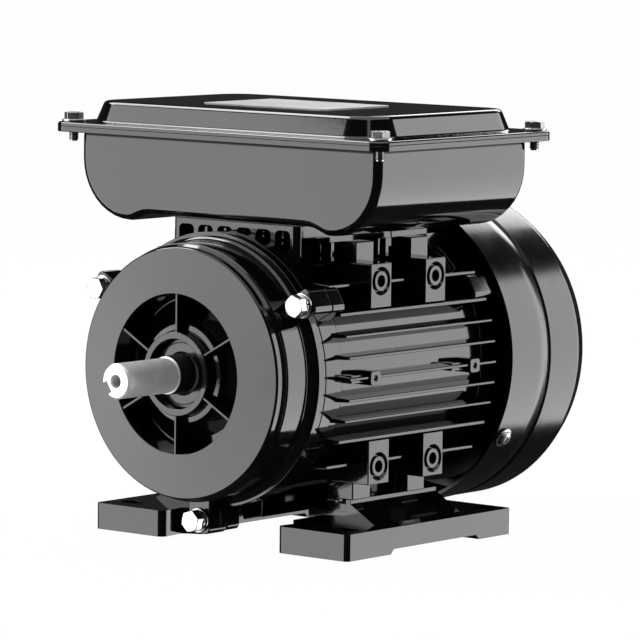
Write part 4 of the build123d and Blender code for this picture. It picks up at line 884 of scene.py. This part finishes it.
def pick_top(piece):
    """Selects the highest face of a piece that is open in edit mode, after turning all faces outwards."""
    bpy.ops.mesh.select_all(action="SELECT")
    bpy.ops.mesh.normals_make_consistent(inside=False)
    bpy.ops.mesh.select_mode(type="FACE")
    bpy.ops.mesh.select_all(action="DESELECT")
    mesh = bmesh.from_edit_mesh(piece.data)
    highest = max(vertex.co.z for vertex in mesh.verts)
    for face in mesh.faces:
        face.select_set(min(vertex.co.z for vertex in face.verts) > highest - 0.00001)
    bmesh.update_edit_mesh(piece.data)


def sloped_block(name, line, z0, profile):
    """A plate outline raised through a profile of (inset, height) points."""
    piece = draw(name, [(x, y, z0) for x, y in line], True)
    edit(piece)
    bpy.ops.mesh.extrude_region_move(TRANSFORM_OT_translate={"value": (0, 0, (profile[0][1] - z0) * MM)})
    pick_top(piece)
    for before, after in zip(profile, profile[1:]):
        inset, rise = after[0] - before[0], after[1] - before[1]
        if inset:
            bpy.ops.mesh.inset(thickness=inset * MM, depth=rise * MM, use_even_offset=True,
                               use_boundary=True)
        else:
            bpy.ops.mesh.extrude_region_move(TRANSFORM_OT_translate={"value": (0, 0, rise * MM)})
    leave()
    return tidy_mesh(piece)


def make_lid():
    """The lid: a flange with a rounded edge, a plateau with sloping sides, and the bare plate on it."""
    edge = eased([(0, 164.6, 0), (0, 166.2, 1.15), (5, 166.2, 0)])
    flange = sloped_block("lid_flange", rounded_rectangle(*RIM_OUTLINE), 164.6,
                          [(v.x, v.y) for v in edge[1:-1]])
    rise = eased([(0, 165.9, 0), (0.0, 166.05, 0), (1.6, 166.5, 1.5), (5.1, 174.9, 2.4), (9, 174.9, 0)])
    plateau = sloped_block("lid_plateau", rounded_rectangle(-77.9, 77.9, -58.3, 43.3, 17.5), 165.9,
                           [(v.x, v.y) for v in rise[1:-1]])
    combined(flange, "UNION", plateau)
    cutters = [prism_z("cavity", rounded_rectangle(-71.5, 71.5, -51.5, 37.0, 9.0), 164.0, 173.0)]
    for x, y in LID_SCREW_PLACES:
        cutters.append(rod("hole", 2.3, 160, 170, 24, (x, y, 0), ALONG_Z))
    cut(flange, *cutters)
    flange.name = "terminal_box_lid"
    dress(flange, gloss_black, "frame", ["box_lid"])
    plate = prism_z("bare_plate", rounded_rectangle(-31.0, 31.0, -33.0, 11.0, 1.5), 174.85, 175.25)
    bevelled(plate, 0.12, 2)
    dress(plate, plate_white, "frame", ["label_plate"])


def make_lid_screws():
    """Flanged hexagon screws, each turned a little further than the one before, as hands leave them."""
    head = hexagon_head("lid_screw", 7.0, 2.8, 0.2)
    head.data.transform(shifted(0, 0, 0.9))
    collar = turned("collar", [(0, 0, 0), (4.8, 0, 0.2), (4.8, 0.9, 0.3), (3.2, 1.1, 0), (0, 1.1, 0)], 40,
                    ORIGIN, ALONG_Z, False)
    profile = [(0, 0.5, 0), (2.0, 0.5, 0)]
    for k in range(11):
        profile += [(2.0, -0.7 * k, 0), (1.65, -0.7 * k - 0.35, 0)]
    profile += [(1.5, -8.0, 0), (0, -8.0, 0)]
    shank = turned("shank", profile, 24, ORIGIN, ALONG_Z, False)
    screw = joined("lid_screw", [head, collar, shank])
    copies = [copied(screw, shifted(x, y, LID_SCREW_SEAT) @ Matrix.Rotation(math.radians(25 * i), 4, "Z"))
              for i, (x, y) in enumerate(LID_SCREW_PLACES)]
    bpy.data.objects.remove(screw)
    dress(joined("lid_screws_set", copies), zinc, "frame", ["lid_screws"])


# End shield bolts

def make_front_bolts():
    """Hexagon bolts with a spring washer and a flat one under each head."""
    head = hexagon_head("bolt", 8.0, 3.6, 0.25)
    bolt = joined("bolt", [head, rod("shank", 2.5, 0.4, -24, 32, ORIGIN, ALONG_Z)])
    spring = turned("spring_washer", [
        (2.8, -1.2, 0.1), (4.4, -1.2, 0.15), (4.4, 0, 0.15), (2.8, 0, 0.1)], 40, ORIGIN, ALONG_Z)
    cut(spring, slab("gap", (2, -0.35, -2), (6, 0.35, 1)))
    flat = turned("flat_washer", [
        (2.8, -2.2, 0.1), (5.0, -2.2, 0.2), (5.0, -1.2, 0.3), (2.8, -1.2, 0.1)], 48, ORIGIN, ALONG_Z)
    washer = joined("washer", [spring, flat])
    bolts, washers = [], []
    for i, angle in enumerate(BOLT_ANGLES):
        x, z = on_circle(FRONT_BOLT_CIRCLE, angle)
        place = (shifted(x, FRONT_BOLT_SEAT, z) @ Matrix.Rotation(math.pi / 2, 4, "X")
                 @ Matrix.Rotation(math.radians(13 + 17 * i), 4, "Z"))
        bolts.append(copied(bolt, place))
        washers.append(copied(washer, place))
    bpy.data.objects.remove(bolt)
    bpy.data.objects.remove(washer)
    dress(joined("front_bolt_set", bolts), zinc, "frame", ["front_bolts"])
    dress(joined("front_washer_set", washers), zinc, "frame", ["front_bolt_washers"])


# Fan cover

def make_fan_cover():
    """The pressed cover: a thin turned shell with a rolled groove and rings of slots cut by six arms."""
    outer = [(COVER_RADIUS, 51.2, 0.55), (COVER_RADIUS, 72.0, 24.0), (63.9, 77.4, 0.3), (64.6, 78.0, 0.5),
             (64.6, 98.0, 7.0), (59.5, 108.0, 7.0), (52.5, 110.3, 3.0), (0, 110.3, 0)]
    inner = [(0, 109.0, 0), (52.2, 109.0, 3.0), (58.6, 107.0, 6.0), (63.3, 97.5, 6.0), (63.3, 78.6, 0.5),
             (62.6, 77.8, 0.3), (63.7, 72.0, 22.0), (63.7, 51.2, 0.55)]
    points = [(v.x, v.y, 0) for v in eased(outer) + eased(inner)]
    cover = turned("fan_cover_shell", points, 144)
    cutters = []
    for k in range(GRILLE_SLOTS):
        radius = FIRST_SLOT + SLOT_PITCH * k
        inside, outside = radius - SLOT_HALF, radius + SLOT_HALF
        ring = turned("slots", [(inside, 105, 0), (outside, 105, 0), (outside, 115, 0), (inside, 115, 0)])
        arms = []
        for arm in range(3):
            bar = slab("arm", (-2.5, 100, AXIS_Z - 70), (2.5, 118, AXIS_Z + 70))
            bar.data.transform(about_shaft(60 * arm))
            arms.append(bar)
        cutters.append(cut(ring, *arms))
    cut(cover, *cutters)
    dress(cover, cover_black, "frame", ["fan_cover"])


def make_cover_screws():
    """Round-headed screws with a wide flange and a cross recess."""
    profile = [(0, 2.5, 0), (2.0, 2.5, 0.5), (3.1, 1.9, 0.6), (3.4, 0.9, 0.2), (4.3, 0.8, 0.2),
               (4.3, 0.05, 0.1), (2.0, 0.0, 0), (2.0, -8.8, 0), (0, -8.8, 0)]
    screw = turned("cover_screw", profile, 40, ORIGIN, ALONG_Z, False)
    for turn in (0, 90):
        bar = slab("cross", (-1.7, -0.35, 1.5), (1.7, 0.35, 4))
        bar.data.transform(Matrix.Rotation(math.radians(turn + 20), 4, "Z"))
        cut(screw, bar)
    copies = []
    for angle in COVER_SCREW_ANGLES:
        place = (about_shaft(angle) @ shifted(COVER_RADIUS, COVER_SCREW_Y, AXIS_Z)
                 @ Matrix.Rotation(math.pi / 2, 4, "Y"))
        copies.append(copied(screw, place))
    bpy.data.objects.remove(screw)
    dress(joined("fan_cover_screw_set", copies), zinc, "frame", ["fan_cover_screws"])


# Cable gland on the rear wall

def make_gland():
    """A nylon cable gland: a hexagon base, a ribbed dome nut and a dark clamping insert."""
    base = hexagon_head("gland_base", 24.0, 5.0, 0.4)
    dome = turned("gland_dome", [
        (5.2, 4.6, 0), (9.4, 4.6, 0.2), (11.0, 5.4, 0.4), (11.0, 12.2, 1.6), (8.6, 17.0, 1.4),
        (5.2, 17.0, 0.4)], 72, ORIGIN, ALONG_Z)
    cutters = []
    for k in range(12):
        groove = slab("groove", (10.4, -0.9, 5.6), (12.0, 0.9, 12.0), 0.3)
        groove.data.transform(Matrix.Rotation(math.radians(30 * k), 4, "Z"))
        cutters.append(groove)
    cut(dome, *cutters)
    bevelled(dome, 0.25, 2, 50)
    cut(base, rod("bore", 5.2, -20, 20, 48, ORIGIN, ALONG_Z))
    thread_line = [(5.2, 0.2, 0), (10.0, 0.2, 0)]
    for k in range(7):
        thread_line += [(10.0, -1.5 * k, 0), (9.3, -1.5 * k - 0.75, 0)]
    thread_line += [(9.3, -10.6, 0), (5.2, -10.6, 0)]
    thread = turned("gland_thread", thread_line, 64, ORIGIN, ALONG_Z)
    insert = turned("gland_insert", [
        (5.0, 15.6, 0.2), (5.6, 15.6, 0), (5.6, -2.0, 0), (5.0, -2.0, 0)], 48, ORIGIN, ALONG_Z)
    gland = joined("nylon_cable_gland", [base, dome, thread, insert])
    gland.data.transform(shifted(GLAND_X, 42.4, GLAND_Z) @ Matrix.Rotation(-math.pi / 2, 4, "X"))
    dress(gland, black_nylon, "frame", ["cable_gland"])


make_front_endshield()
make_seal()
make_shaft()
make_housing()
make_feet()
make_box()
make_lid()
make_lid_screws()
make_front_bolts()
make_fan_cover()
make_cover_screws()
make_gland()
